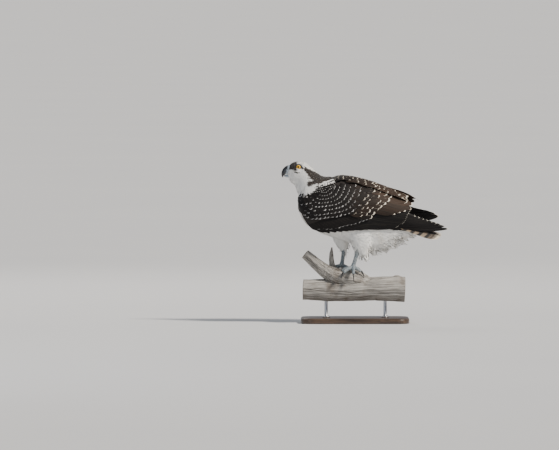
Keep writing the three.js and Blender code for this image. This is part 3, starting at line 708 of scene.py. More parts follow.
def wing_depth(x, z):
    """How far the left wing's surface stands out to the side at a place on it."""
    low, high = wing_low(x), wing_high(x)
    share = np.clip((z - low) / np.maximum(8, high - low), 0, 1)
    flat = ease((x - 120) / 110)
    past = np.maximum(0, np.maximum(z - high, low - z))
    rounded = lerp(wing_round(share), shoulder_round(share), ease((-40 - x) / 50) * ease((x + 176) / 20))
    return wing_out(x) * lerp(rounded, 0.84, flat) - past * lerp(0.45, 0.1, flat)


def on_wing(x, z, lift):
    """A point on the left wing, lifted off its surface along the surface's own normal."""
    x = np.maximum(x, -174.5)
    z = np.clip(z, wing_low(x) - 5, wing_high(x) + 1)
    x, z, lift = np.broadcast_arrays(x, z, lift)
    step = 2
    dx = (wing_depth(x + step, z) - wing_depth(x - step, z)) / (2 * step)
    dz = (wing_depth(x, z + step) - wing_depth(x, z - step)) / (2 * step)
    normal = unit(np.stack([-dx, -np.ones_like(dx), -dz], -1))
    return np.stack([x, -wing_depth(x, z), z], -1) + normal * lift[..., None]


def as_right(points):
    """The left wing's points turned into the right wing's, which is carried higher at its tip."""
    c, s = math.cos(WING_LIFT), math.sin(WING_LIFT)
    x, z = points[..., 0] - WING_HINGE[0], points[..., 2] - WING_HINGE[1]
    return np.stack([x * c - z * s + WING_HINGE[0], -points[..., 1], x * s + z * c + WING_HINGE[1]], -1)


COAT_SHAPE = [[0, 0.5], [0.3, 1], [0.65, 0.9], [0.88, 0.55], [1, 0.2]]
COVERT_SHAPE = [[0, 0.45], [0.3, 0.85], [0.6, 1], [0.85, 0.96], [1, 0.7]]
FLIGHT_SHAPE = [[0, 0.55], [0.3, 0.9], [0.7, 1], [0.9, 0.85], [1, 0.5]]
PRIMARY_SHAPE = [[0, 0.6], [0.4, 1], [0.75, 0.9], [0.92, 0.62], [1, 0.3]]
WIDE_COLUMNS = [-1, -0.8, -0.5, -0.2, -0.06, 0, 0.06, 0.2, 0.5, 0.8, 1]
SMALL_COLUMNS = [-1, -0.6, 0, 0.6, 1]
COVERT_ROWS = 8
INNER_ROW = [[-112, 408], [-105, 401], [-96, 398], [-86, 400], [-78, 407], [-72, 419]]
MEDIAN_ROW = [
    [-178, 384], [-174, 360], [-160, 337], [-138, 320], [-116, 318], [-79, 323],
    [-35, 331], [-2, 345], [20, 371], [33, 398], [38, 424],
]
WHITE_PLACE = (-0.175, 0, 0.42)  # in metres, where the markings are white


def tier(tips, count, angle, long, half, lifts, shape, rows, drawn=0, seed=SEED, **options):
    """One row of long feathers, from the first to the last value of each pair. drawn is how far they
    are drawn in."""
    share = np.linspace(0, 1, count)
    ends = along_line(tips, share)
    angles = lerp(*angle, share) + np.random.default_rng(seed).normal(size=count) * 0.012
    ends[:, 0] -= drawn * np.cos(angles)
    longs, halves = lerp(*long, share), lerp(*half, share)
    for key, value in options.items():
        options[key] = lerp(*value, share) if isinstance(value, tuple) else value
    return vanes(on_wing, ends, angles, longs, halves, lifts, shape, rows, WIDE_COLUMNS, seed, **options)


def wing_tiers(drawn):
    """The long feathers of one wing, from the deepest tier to the top one."""
    rise = 10 if drawn else 0
    # warm: how much of each web is painted sunlit brown as painted light, most on the tertials and scapulars
    primaries = tier(
        [[285, 287 + rise], [270, 297 + rise], [250, 304 + rise], [222, 313 + rise], [186, 327 + rise]],
        9, (-0.02, 0.22), (240, 180), (9 + rise * 0.4, 13.5 + rise * 0.3), (-16.5, -9.6),
        FLIGHT_SHAPE if drawn else PRIMARY_SHAPE, 22, drawn,
        fringe=(1.6, 1.4), warm=0.02, shingle=0.8, curl=0.9,
    )
    secondaries = tier(
        [[128, 293], [148, 305], [158, 320], [164, 334], [170, 346]],
        12, (0.02, 0.36), (180, 160), (12, 14), (-13.5, -6.6),
        FLIGHT_SHAPE, 18, seed=21, fringe=(0.3, 0.05), warm=(0.02, 0.15), shingle=0.8,
    )
    greater = tier(
        [[-108, 287], [-64, 288], [-33, 296], [14, 308], [50, 324], [66, 345]],
        16, (0.72, 0.26), (52, 84), (10, 14), (-10.4, -3.6),
        COVERT_SHAPE, 12, seed=22, fringe=(0.6, 2.3), warm=(0.0, 0.15),
    )
    lower = tier(
        [[-144, 304], [-122, 283], [-84, 273], [-40, 278], [10, 283], [60, 289], [96, 296]],
        14, (0.95, 0.06), (52, 120), (11, 13), (-10.6, -6.4),
        FLIGHT_SHAPE, 14, seed=25, fringe=-2.0, warm=0.0, shingle=0.8,
    )
    tertials = tier(
        [[122, 334], [150, 343], [174 + rise, 350], [178 + 2 * rise, 360], [160 + 2 * rise, 371]],
        6, (0.26, 0.34), (130, 140 + 2 * rise), (15, 17), (-10.6, -3.2),
        FLIGHT_SHAPE, 18, seed=23, fringe=2.6, warm=(0.4, 0.85), shingle=1.1,
    )
    scapulars = tier(
        [[52, 324], [68, 345], [86, 360], [105, 375], [114, 385], [100, 395]],
        8, (0.2, 0.3), (84, 100), (13, 14), (-7, -0.8),
        COVERT_SHAPE, 14, seed=24, fringe=(2.2, 2.8), warm=(0.2, 0.8), shingle=1.1,
    )
    return {
        "flight": [(*primaries, 0.35), (*secondaries, 0.35), (*lower, 0.3)],
        "coverts": [greater],
        "scapulars": [tertials, scapulars],
    }


def covert_rows():
    """The small coverts, in rows that go round the shoulder from the white line to the median row."""
    rng = np.random.default_rng(31)
    knots = np.arange(200)
    inner, outer = (along_line(row, np.linspace(0, 1, len(knots))) for row in (INNER_ROW, MEDIAN_ROW))
    found = []
    for n in range(COVERT_ROWS):
        t = n / (COVERT_ROWS - 1)
        line = lerp(inner, outer, t**1.1)
        run = run_along(line)
        pitch = lerp(6.6, 12.6, t)
        count = int(run[-1] / pitch)
        at = (np.arange(count) + (0.5 if n % 2 else 0.0) + 0.25) * run[-1] / count
        at = np.clip(at + rng.normal(size=count) * pitch * 0.06, 0, run[-1])
        index = np.interp(at, run, knots)
        tips = read_off(index, knots, line)
        heading = unit(read_off(index, knots, outer - inner)) + np.array([1.25, -0.35])
        angles = np.arctan2(-heading[:, 1], heading[:, 0]) + rng.normal(size=count) * 0.05
        lifts = (lerp(-2.4, -6.4, t), lerp(0.7, -0.4, t))
        columns = SMALL_COLUMNS if t < 0.6 else WIDE_COLUMNS
        # painted light: coverts further back get more of the painted sunlit brown
        warm = np.clip((tips[:, 0] + 30) / 90, 0, 0.6)
        found.append(vanes(
            on_wing, tips, angles, lerp(17, 44, t), pitch * lerp(0.72, 0.82, t), lifts,
            COVERT_SHAPE, 8, columns, 40 + n, lerp(1.0, 1.6, t), warm,
            shingle=0.5, shaft=0.12, ragged=0.06, stray=0.25, camber=0.09,
        ))
    # three short rows over the shoulder, under the white line
    line = along_line([[-174, 396], [-142, 405], [-104, 414], [-66, 425]], np.linspace(0, 1, 19))
    for n in range(3):
        tips = line[n % 2:] + [3 * n, -5.5 * n + 1]
        tips = tips + rng.normal(size=tips.shape) * 0.5
        angles = lerp(1.1, 0.35, (tips[:, 0] + 174) / 110)
        found.append(vanes(
            on_wing, tips, angles, 15, 4.4, (-2.0, 0.9), COVERT_SHAPE, 7, SMALL_COLUMNS, 35 + n, 1.0, 0,
            shingle=0.4, shaft=0.1, stray=0.25, camber=0.09,
        ))
    return found


def scapular_rows():
    """Short scapulars, in rows from the end of the small coverts to the long scapulars."""
    rng = np.random.default_rng(51)
    knots = np.arange(100)
    inner = along_line([[4, 338], [22, 366], [40, 388], [50, 412], [34, 430]], np.linspace(0, 1, len(knots)))
    outer = along_line([[44, 322], [60, 342], [80, 360], [98, 376], [92, 400]], np.linspace(0, 1, len(knots)))
    found = []
    for n in range(4):
        t = n / 4
        share = (np.arange(7) + 0.5 * (n % 2) + 0.1) / 7.2
        tips = read_off(share * knots[-1], knots, lerp(inner, outer, t))
        tips += rng.normal(size=tips.shape) * 1.2
        # painted light: each later row gets more of the painted sunlit brown
        found.append(vanes(
            on_wing, tips, 0.26 + rng.normal(size=7) * 0.06, 52, 11.5, (-5.5, -0.2),
            COVERT_SHAPE, 10, WIDE_COLUMNS, 60 + n, 1.9, lerp(0.15, 0.6, t), shingle=0.8, stray=0.3,
        ))
    return found


def shoulder_line():
    """The white feathers that show between the mantle and the small coverts."""
    rng = np.random.default_rng(71)
    tips = along_line([[-162, 403], [-142, 411], [-104, 421], [-64, 433]], np.linspace(0, 1, 34))
    found = []
    for n, rise in enumerate((3.5, -1.5)):
        at = tips + np.array([2 + 3 * n, rise]) + rng.normal(size=tips.shape) * 0.8
        points, layers = vanes(
            on_wing, at, rng.normal(size=len(at)) * 0.2, 11, 3.0, (-1.2, 1.0),
            COVERT_SHAPE, 6, SMALL_COLUMNS, 72 + n, 0.1,
            shingle=0.3, stray=0.5, ragged=0.14, camber=0.05, shaft=0,
        )
        layers["root"] = np.broadcast_to(WHITE_PLACE, points.shape)
        found.append((points, layers))
    return found


# How deep the pad lies under the long feathers, by x, and the lower edge of the small coverts over it
sink_along = through([[-179, 0], [-130, 0.6], [-90, 3.4], [-40, 6.6], [30, 9.8], [90, 12.4], [150, 14]])
small_covert_edge = through([[-134, 309], [-104, 319], [-60, 326], [-8, 345], [20, 374], [44, 420]])


def wing_pad(name, material, side=None):
    """The arm under the feathers, a little inside the solid one."""
    rings, across = 48, 34
    share = np.linspace(0, 1, across)
    edge = np.sin(np.pi * np.clip(share, 0.06, 0.94)) ** 0.5
    rows = []
    for t in (i / rings for i in range(rings + 1)):
        x = lerp(-160, 138, t**1.3)
        low, high = wing_low(x), wing_high(x)
        inset = lerp(2, 15, ease(t))
        z = np.linspace(low + inset, high - inset * 0.7, across)
        thick = lerp(6, 20, edge) * lerp(1, 0.3, ease(t))
        covered = np.clip((small_covert_edge(x) + 40 - z) / 26, 0, 1)
        sink = lerp(lerp(0.4, sink_along(x), covered), 12.5, ease((small_covert_edge(x) - 2 - z) / 14))
        outer = on_wing(x, z, -sink - 1.6)
        behind = on_wing(x, z, -np.maximum(sink, sink_along(x)) - thick)
        # towards the front, the inner side is drawn to the body's middle
        middle = np.array([x, 0, (low + high) / 2])
        held = 1 - ease((x + 100) / 80)
        rows.append(np.vstack([outer, lerp(behind, lerp(outer, middle, 0.5), held)[::-2]]))
    points = np.array(rows)
    if side:
        points = side(points)
    return closed_limb(name, (points, points), material)


# Skin: one surface for head, neck, torso and thighs

# The lower edge of the coat beside the mantle, by x
white_low = through([[-176, 388], [-142, 402], [-104, 413], [-68, 423], [-44, 428]])

EYE = {"x": -171, "side": 15.2, "z": 475.5, "radius": 9}
FLESH = ["head", "neck", "torso", "thigh_left", "thigh_right"]
SKIN_VOXEL, SKIN_SMOOTHINGS = 2.4, 14


def coat_depth(p):
    """How far the skin lies inside the solids, by place in millimetres."""
    depth = lerp(1.4, 2.6, ease((p[:, 0] + 150) / 50))
    depth = np.where(p[:, 2] < 255, np.minimum(depth, 2.4), depth)
    lids = ([EYE["x"], side * (EYE["side"] + 6), EYE["z"]] for side in (-1, 1))
    eye = np.minimum(*(np.linalg.norm(p - lid, axis=1) for lid in lids))
    return depth * np.clip((eye - 4) / 10, 0.3, 1)


def skin_mesh():
    """The flesh nodes as one closed surface, smoothed and drawn in by the coat's depth."""
    bm = bmesh.new()
    for node in FLESH:
        bm.from_mesh(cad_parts[node].data)
    rough = bpy.data.meshes.new("rough")
    bm.to_mesh(rough)
    bm.free()
    holder = linked("rough", rough)
    remesh = holder.modifiers.new("one", "REMESH")
    remesh.mode = "VOXEL"
    remesh.voxel_size = SKIN_VOXEL * MM
    shape = bpy.data.meshes.new_from_object(holder.evaluated_get(bpy.context.evaluated_depsgraph_get()))
    bpy.data.objects.remove(holder)
    count = len(shape.vertices)
    points = np.zeros(count * 3)
    shape.vertices.foreach_get("co", points)
    points = points.reshape(-1, 3) / MM
    edges = np.zeros(len(shape.edges) * 2, np.int32)
    shape.edges.foreach_get("vertices", edges)
    a, b = edges.reshape(-1, 2).T
    degree = np.bincount(a, minlength=count) + np.bincount(b, minlength=count)
    for _ in range(SKIN_SMOOTHINGS):
        total = np.zeros_like(points)
        for c in range(3):
            total[:, c] = np.bincount(a, points[b, c], count) + np.bincount(b, points[a, c], count)
        points = lerp(points, total / degree[:, None], 0.5)
    shape.vertices.foreach_set("co", (points * MM).ravel())
    shape.update()
    normals = np.zeros(count * 3)
    shape.vertices.foreach_get("normal", normals)
    points = points - normals.reshape(-1, 3) * (coat_depth(points) - 0.6)[:, None]
    return points, [list(face.vertices) for face in shape.polygons]


def lie(p, normal):
    """The way that the coat lies at a place: back from the bill, down the neck, and along the body."""
    x, y, z = p.T
    face = p - np.array([-204, 0, 462])
    near = 1 - ease((np.linalg.norm(face, axis=1) - 12) / 38)
    neck = np.broadcast_to(unit(np.array([0.64, 0.0, -0.77])), p.shape)
    front = 1 - ease((x + 172) / 80)
    rear = ease((x - 60) / 70)
    body = unit(np.stack([lerp(1.0, 0.25, front), y * 0, lerp(lerp(-0.35, -1.0, front), -0.3, rear)], -1))
    high = ease((z - 405) / 30)
    nape = ease((x + 130) / 50)
    way = lerp(body, lerp(neck, body, nape[:, None]), high[:, None])
    way = lerp(way, unit(face), near[:, None])
    thigh = (z < 262) & (np.abs(y) > 12) & (x < 62) & (x > -70)
    down = 1 - ease((z - 240) / 26)
    way = np.where(thigh[:, None], lerp(way, np.array([0.15, 0.0, -1.0]), down[:, None]), way)
    way = way - normal * np.sum(way * normal, axis=1, keepdims=True)
    return unit(way)


def scattered(points, faces, spacing, keep, rng):
    """Spots on the skin about spacing apart, with their normals, where keep says so."""
    corners = points[np.array([f[:3] for f in faces] + [[f[0], f[2], f[3]] for f in faces if len(f) == 4])]
    cross = np.cross(corners[:, 1] - corners[:, 0], corners[:, 2] - corners[:, 0])
    area = np.linalg.norm(cross, axis=1) / 2
    area = area * keep(corners.mean(1))
    tries = int(area.sum() / spacing**2 * 3.2)
    chosen = rng.choice(len(area), tries, p=area / area.sum())
    s, t = np.sqrt(rng.random(tries)), rng.random(tries)
    weights = np.stack([1 - s, s * (1 - t), s * t], -1)
    spots = np.einsum("nk,nkc->nc", weights, corners[chosen])
    taken, found = {}, []
    for i, (home, spot) in enumerate(zip((spots // spacing).astype(int).tolist(), spots)):
        cells = (tuple(map(sum, zip(home, step))) for step in itertools.product((-1, 0, 1), repeat=3))
        gaps = (spot - spots[other] for cell in cells for other in taken.get(cell, ()))
        if all(gap @ gap >= (spacing * 0.86) ** 2 for gap in gaps):
            taken.setdefault(tuple(home), []).append(i)
            found.append(i)
    return spots[found], unit(cross)[chosen[found]]


def unwrapped(roots):
    """A place for each root on an unwrap of the body: along it, and round it."""
    x, y, z = roots.T
    middle = np.interp(x, [-170, -120, -60, 60, 180], [440, 400, 350, 310, 280])
    around = np.arctan2(y, z - middle) / (2 * math.pi) + 0.5
    return np.stack([0.01 + 0.98 * (x + 215) / 410, 0.01 + 0.98 * around], -1)


def laid_out(roots, ahead, aside, forward, sideways):
    """A grid of points for each root, so far ahead of it and aside."""
    ahead, aside = ahead[:, None, None] * forward[..., None], aside[:, None, None] * sideways[..., None]
    return roots[:, None, None] + ahead + aside


def tuft_piece(name, points, roots, long, u, v, tone, fringe, material):
    """Tufts or small feathers as one piece. Each takes its colours and its patch from its root's place."""
    count, rows, columns = points.shape[:3]
    patch = spread(points[..., 0], u * 0.5, v - 0.5) * PATCH
    layers = {
        "vane": spread(points[..., 0], long * (1 - v), u, long * v),
        "kind": spread(points[..., 0], tone, fringe, 0),
        "root": np.broadcast_to(roots[:, None, None] * MM, points.shape),
        BAKE_MAP: unwrapped(roots)[:, None, None] + patch,
    }
    layers = {key: values.reshape(-1, values.shape[-1]) for key, values in layers.items()}
    faces = repeated(grid_faces(rows, columns), count, rows * columns).tolist()
    return piece(name, points.reshape(-1, 3), faces, material, (), layers)


def coat_piece(
    name, tree, roots, normals, long, half, stand, rows, columns, material, seed,
    fringe=1.0, loose=0.16, ragged=0.2, lift=0.8,
):
    """Small feathers rooted on the skin and laid over it. stand is their height at the tip, lift how
    late they rise to it, loose how much they turn, and ragged how uneven their tips are."""
    rng = np.random.default_rng(seed)
    count = len(roots)
    ahead = lie(roots, normals)
    turn = rng.normal(size=count) * loose
    aside = np.cross(normals, ahead)
    ahead = ahead * np.cos(turn)[:, None] + aside * np.sin(turn)[:, None]
    aside = np.cross(normals, ahead)
    long, half, stand = (
        (np.broadcast_to(size, count) * (1 + vary * rng.normal(size=count)))[:, None, None]
        for size, vary in ((long, 0.14), (half, 0.1), (stand, 0.25))
    )
    v = np.linspace(0, 1, rows)[None, :, None]
    u = np.array(columns, float)[None, None, :]
    uneven = ragged * rng.normal(size=(count, 1, len(columns))) * v**2
    forward = long * v - half * (0.8 * ease(v) * u * u + uneven)
    flat = laid_out(roots, ahead, aside, forward, half * through(COAT_SHAPE)(v) * u)
    height = (stand * v**lift + 0.25 - 0.06 * half * u * u).reshape(-1, 1)
    flat_points = flat.reshape(-1, 3)
    own = np.repeat(normals, rows * len(columns), axis=0)
    on_skin, facing, gaps = np.empty_like(flat_points), np.empty_like(flat_points), np.empty(len(flat_points))
    for i, spot in enumerate(flat_points.tolist()):
        on_skin[i], facing[i], _, gaps[i] = tree.find_nearest(spot)
    # a feather that reaches past an edge of the body goes straight on instead of bending round it
    free = np.maximum(ease((gaps - 6) / 5), ease((0.55 - np.sum(facing * own, axis=1)) / 0.4))[:, None]
    laid = lerp(on_skin + facing * height, flat_points + own * height, free)
    tone = rng.random((count, 1, 1))
    return tuft_piece(name, laid.reshape(flat.shape), roots, long, u, v, tone, fringe, material)


def off_the_face(p):
    """Places that feathers leave bare: the eyes, the bill and the gape."""
    bare = np.zeros(len(p), bool)
    for side in (-1, 1):
        eye = p - np.array([EYE["x"], side * EYE["side"], EYE["z"]])
        bare |= (np.hypot((eye[:, 0] + 2.8) * 0.84, eye[:, 2] - 0.4) < 9.6) & (np.abs(p[:, 1]) > 12)
    bare |= (p[:, 0] < -199.5) & (p[:, 2] > 443) & (p[:, 2] < 479)
    return ~bare


def under_wing(p):
    """Skin that a folded wing hides."""
    x, y, z = p.T
    upper = np.where(x < -50, white_low(x), wing_high(x) - 14)
    hidden = (x > -148) & (x < 150) & (z > wing_low(x) + 14) & (z < upper)
    return hidden & (np.abs(y) > 28)


def on_head(p):
    return off_the_face(p) & (p[:, 0] < -118) & (p[:, 2] > 424 - (p[:, 0] + 190) * 0.2)


def on_face(p):
    return on_head(p) & (p[:, 0] < -184)


def on_neck(p):
    return ~on_head(p) & off_the_face(p) & (p[:, 0] < -60) & (p[:, 2] > 372) & ~under_wing(p)


def on_thighs(p):
    return (p[:, 2] < 250) & (np.abs(p[:, 1]) > 12) & (p[:, 0] < 62) & (p[:, 0] > -72)


def on_torso(p):
    return ~on_head(p) & ~on_neck(p) & ~on_thighs(p) & ~under_wing(p) & off_the_face(p)


def body_coat(points, faces, tree, coat):
    """The coat in five pieces, finest on the face: spacing, length, half width, height and rows."""
    rng = np.random.default_rng(SEED)
    plans = [
        ("coat_face", on_face, 1.7, 4.2, 1.0, 0.6, 4, dict(fringe=0.05, loose=0.14)),
        ("coat_head", on_head, 2.3, 7.5, 1.6, 1.1, 5, dict(fringe=0.12, ragged=0.35)),
        ("coat_neck", on_neck, 3.2, 14.0, 2.5, 1.7, 6, dict(fringe=0.4, loose=0.2, ragged=0.4)),
        ("coat_body", on_torso, 3.9, 22.0, 3.1, 2.0, 7, dict(fringe=0.3, loose=0.17, ragged=0.4)),
        ("coat_thighs", on_thighs, 2.7, 18.0, 1.7, 2.0, 6, dict(loose=0.2, ragged=0.4, lift=1.2)),
    ]
    for n, (name, keep, spacing, long, half, stand, rows, options) in enumerate(plans):
        spots = scattered(points, faces, spacing, keep, rng)
        coat_piece(name, tree, *spots, long, half, stand, rows, SMALL_COLUMNS, coat, 80 + n, **options)


def long_white_coverts(tree, coat):
    """The long loose feathers under the tail and the ragged ones behind the thighs."""
    rng = np.random.default_rng(91)
    roots, normals, longs = [], [], []
    for x in np.linspace(84, 172, 20):
        for angle in np.linspace(-1.15, 1.15, 13):
            start = Vector((x, math.sin(angle) * 60, 300 - math.cos(angle) * 90))
            hit, normal, _, _ = tree.ray_cast(start, (Vector((x, 0, 306)) - start).normalized())
            if hit is not None:
                roots.append(np.array(hit) + rng.normal(size=3) * 1.5)
                normals.append(np.array(normal))
                longs.append(lerp(44, 30, (x - 84) / 88) if x < 150 else 22)
    roots, normals, longs = (np.array(values) for values in (roots, normals, longs))
    columns = [-1, -0.7, -0.35, 0, 0.35, 0.7, 1]
    sizes = (longs, 5.5, 2.2, 9)
    coat_piece("coat_under_tail", tree, roots, normals, *sizes, columns, coat, 92, loose=0.12, lift=1.3)


def fluff(tree, coat):
    """Wisps that break the lower edge of the belly and the backs of the thighs."""
    rng = np.random.default_rng(95)
    starts = [[x, y, 200] for x in np.linspace(30, 128, 40) for y in np.linspace(-26, 26, 12)]
    starts += [[x, y, 200] for x in np.linspace(-44, 34, 26) for y in (-38, -34, -30, -26, 24, 28, 32, 36)]
    roots, normals = [], []
    for start in starts:
        jitter = rng.normal(size=3) * [2, 2, 0]
        hit, normal, _, _ = tree.ray_cast(Vector(np.array(start) + jitter), Vector((0, 0, 1)))
        if hit is not None and hit.z < (262 if abs(start[1]) > 27 else 300):
            roots.append(np.array(hit))
            normals.append(np.array(normal))
    roots, normals = np.array(roots), np.array(normals)
    way = unit(lie(roots, normals) + normals * 0.35 + rng.normal(size=roots.shape) * 0.18)
    each = (len(roots), 1, 1)
    long = rng.uniform(10, 23, each)
    half = rng.uniform(0.8, 1.9, each)
    v = np.linspace(0, 1, 6)[None, :, None]
    u = np.array([-1, -0.3, 0.4, 1])[None, None, :]
    splay = rng.normal(size=(len(roots), 1, u.size)) * 0.12 * v * v
    sideways = half * (1 - 0.85 * v**1.5) * u + long * splay
    forward = long * v * (1 + 0.12 * rng.normal(size=(len(roots), 1, u.size)))
    points = laid_out(roots, way, unit(np.cross(normals, way)), forward, sideways)
    points = points + np.array([0, 0, -1]) * (forward**2 * 0.006)[..., None]
    tuft_piece("coat_fluff", points, roots, long, u, v, rng.random(each), 0.1, coat)


# Back: the mantle and inner scapulars, which lie over the gap between the wings

BACK_FROM, BACK_HALF = -84, 31


def on_back(x, across, lift):
    """A point on the saddle between the wings' upper edges, BACK_HALF to each side of the middle."""
    x, across, lift = np.broadcast_arrays(x, across, lift)
    side = np.clip(across / BACK_HALF, -1.25, 1.25)
    edge = on_wing(x, wing_high(x) - 7, 0 * x)
    point = lerp(edge, as_right(edge), (side + 1)[..., None] / 2)
    arch = through([[-110, 5], [-40, 8], [40, 9], [110, 3], [180, -8]])(x) * (1 - side**2)
    point[..., 2] += arch + lift + 2
    return point


def back_feathers():
    """Rows across the back, longer and paler at the tips towards the tail."""
    rng = np.random.default_rng(101)
    count = 9
    found = []
    for n, x in enumerate(np.arange(BACK_FROM, 142, 11.5)):
        t = (x - BACK_FROM) / 204
        sides = (np.arange(count) + 0.5 * (n % 2) + 0.25) / count * 2 - 1
        tips = np.stack([np.full(count, x) + rng.normal(size=count) * 2 + 26, sides * BACK_HALF], -1)
        angles = -sides * 0.12 + rng.normal(size=count) * 0.08
        # painted light: towards the tail, more of each web is painted sunlit brown
        found.append(vanes(
            on_back, tips, angles, lerp(30, 62, t), lerp(6.5, 11, t), (-2.4, 2.2),
            COVERT_SHAPE, 9, WIDE_COLUMNS, 110 + n, lerp(0.9, 2.2, t), lerp(0.15, 0.8, t),
            shingle=0, stray=0.5, camber=0.08, ragged=0.1,
        ))
    return found


# Tail

TAIL_ROOT, TAIL_SLOPE, TAIL_LONG, TAIL_HALF = (80, 0, 326), -0.288, 192, 15.5
TAIL_LEVELS = [0, 1, 2, 3, 4, 4, 5, 5, 6, 6, 7, 7]


def on_tail(along, across, lift):
    """A point on the slightly arched tail, which slopes down from its root."""
    along, across, lift = np.broadcast_arrays(along, across, lift)
    run, rise = math.cos(TAIL_SLOPE), math.sin(TAIL_SLOPE)
    out = lift - 0.009 * across**2
    x, y, z = TAIL_ROOT
    return np.stack([x + run * along - rise * out, y + across, z + rise * along + run * out], -1)


def tail_feathers():
    """Twelve feathers, from the middle pair on top down to the outer ones."""
    groups = []
    for n, level in enumerate(TAIL_LEVELS):
        place = (-1 if n % 2 else 1) * (n // 2 + 0.5)
        long = TAIL_LONG - 0.27 * place * place
        turn = place * 0.021
        tip = np.array([[long, place * 1.6 + long * turn]])
        lift = -level * 1.5 - 0.3
        made = vanes(
            on_tail, tip, -math.atan(turn), long, TAIL_HALF, (lift, lift),
            FLIGHT_SHAPE, 24, WIDE_COLUMNS, 130 + n, warm=1 - abs(place) / 6,
            shingle=0, camber=0.02, shaft=0.3, ragged=0.1, stray=0.1, curl=0.75,
        )
        groups.append((*made, 0.5))
    return groups


def upper_tail_coverts():
    """Dark feathers over the tail's root."""
    groups = []
    for n, along in enumerate((66, 82, 98, 114)):
        across = np.linspace(-20, 20, 7) + (2.8 if n % 2 else 0)
        tips = np.stack([np.full(7, along), across], -1)
        groups.append(vanes(
            on_tail, tips, -across * 0.006, 52, 9, (2, 4.5 - n * 0.9),
            COVERT_SHAPE, 9, WIDE_COLUMNS, 150 + n, 2.6, 0.55, shingle=0, stray=0.4,
        ))
    return groups


# Head: bill, eyes and lids

# Paths of [x, y, z, half depth, half width], from the head to the tip, and from the tip back for the gape
BILL_UPPER = [
    [-186, 0, 468, 13.5, 12], [-200, 0, 466.5, 14, 10.5], [-210, 0, 463, 11.6, 8.4],
    [-217, 0, 457, 7.6, 5.8], [-220.6, 0, 449.5, 3.7, 3.2], [-220.3, 0, 443.2, 0.8, 0.8],
]
BILL_LOWER = [
    [-188, 0, 449.5, 6, 9.4], [-201, 0, 448.6, 5.6, 7.8], [-210, 0, 447.8, 4.4, 5.6], [-216, 0, 448.2, 2, 3],
]
GAPE = [
    [-203, 9.6, 453.9, 0.5, 0.5], [-201, 11.0, 454.2, 0.8, 0.9], [-198, 13.4, 454.6, 0.9, 1.0],
    [-192, 17.6, 456.0, 0.7, 0.8], [-188, 20.0, 456.6, 0.4, 0.4],
]


def keel(angle):
    """The upper bill's section: ridged on top, with flattened sides and underside."""
    top, low = np.maximum(0, np.cos(angle)), np.maximum(0, -np.cos(angle))
    return 1 + 0.05 * top**6 - 0.1 * np.abs(np.sin(2 * angle)) * (top > 0) - 0.1 * low**3


def chin(angle):
    """The lower bill's section, flattened on top."""
    return 1 - 0.12 * np.maximum(0, np.cos(angle)) ** 2


def swell(x, middle, wide):
    """A smooth rise and fall, 1 at its middle."""
    return np.exp(-(((x - middle) / wide) ** 2))


def bill_relief(run, angle):
    """The edge of the cere, the nostrils and the ridge over the cutting edge."""
    cere = swell(run, 21, 2.0) * 0.35
    beside = swell(np.cos(angle), 0.32, 0.02**0.5) * (np.abs(np.sin(angle)) > 0.5)
    nostril = -1.5 * beside * swell(run, 18.4, 2.1)
    return cere + nostril + 0.35 * swell(np.cos(angle), -0.72, 0.02**0.5) * swell(run, 22, 10)


def bill(horn, gape):
    """Both halves of the bill, and the fold of skin at each corner of the mouth."""
    upper = limb(BILL_UPPER, 64, 56, relief=bill_relief, section=keel)
    closed_limb("bill_upper_horn", upper, horn, ["bill_upper"])
    closed_limb("bill_lower_horn", limb(BILL_LOWER, 30, 32, section=chin), horn, ["bill_lower"])
    for side, name in ((-1, "left"), (1, "right")):
        rows = [[x, side * y, z, deep, wide] for x, y, z, deep, wide in GAPE]
        closed_limb(f"gape_{name}", limb(rows, 24, 14), gape)


def round_eye(side, out, a, b):
    """Points from how far each is out along an eye's axis, up, and aside."""
    centre = np.array([EYE["x"], side * EYE["side"], EYE["z"]])
    axis = unit(np.array([-0.2, side * 0.98, 0.02]))
    up = unit(np.cross(np.cross(axis, [0, 0, 1.0]), axis))
    return centre + out[..., None] * axis + a[..., None] * up + b[..., None] * np.cross(axis, up)


def eyeball(side, name, iris):
    """A ball, open behind, whose clear front bulges a little."""
    polar = np.linspace(0.02, math.pi * 0.72, 30)[:, None]
    angle = np.linspace(0, 2 * math.pi, 48, endpoint=False)[None, :]
    out = np.cos(polar) * EYE["radius"] * (1 + 0.05 * swell(polar, 0, 0.5)) + 0 * angle
    a, b = (np.sin(polar) * turn(angle) * EYE["radius"] for turn in (np.cos, np.sin))
    spoke = np.vstack([spread(out, np.cos(angle), np.sin(angle), 0).reshape(-1, 3), np.zeros((2, 3))])
    made = round_eye(side, out, a, b), np.stack([out, a, b], -1)
    closed_limb(f"eyeball_{name}", made, iris, [f"eye_{name}"], spoke)


def lids(side, name, lid):
    """A ring of bare skin round an eye, thicker and lower above."""
    rows, ring = 64, 12
    t = np.linspace(0, 2 * math.pi, rows, endpoint=False)[:, None]
    turn = np.linspace(0, 2 * math.pi, ring, endpoint=False)[None, :]
    brow = np.maximum(0, np.sin(t))
    inner = 6.9 - 0.75 * brow + 0.1 * np.cos(t)
    thick = 1.15 + 0.35 * brow
    radial = inner + thick * 0.8 + thick * 1.25 * np.cos(turn)
    out = np.sqrt(np.maximum(EYE["radius"] ** 2 - inner**2, 1)) + 0.25 - 0.35 + thick * 0.9 * np.sin(turn)
    faces = grid_faces(rows, ring, closed=True).tolist()
    last = (rows - 1) * ring
    faces += [[last + k, last + (k + 1) % ring, (k + 1) % ring, k] for k in range(ring)]
    points = round_eye(side, out, np.sin(t) * radial, np.cos(t) * radial)
    piece(f"lids_{name}", points.reshape(-1, 3), faces, lid)


def eyes(iris, lid):
    """The eyeball and the lids of each side."""
    for side, name in ((-1, "left"), (1, "right")):
        eyeball(side, name, iris)
        lids(side, name, lid)


# Legs and feet

TARSUS_TOP, TARSUS_WAIST, TARSUS_FOOT = 7.5, 5.4, 7
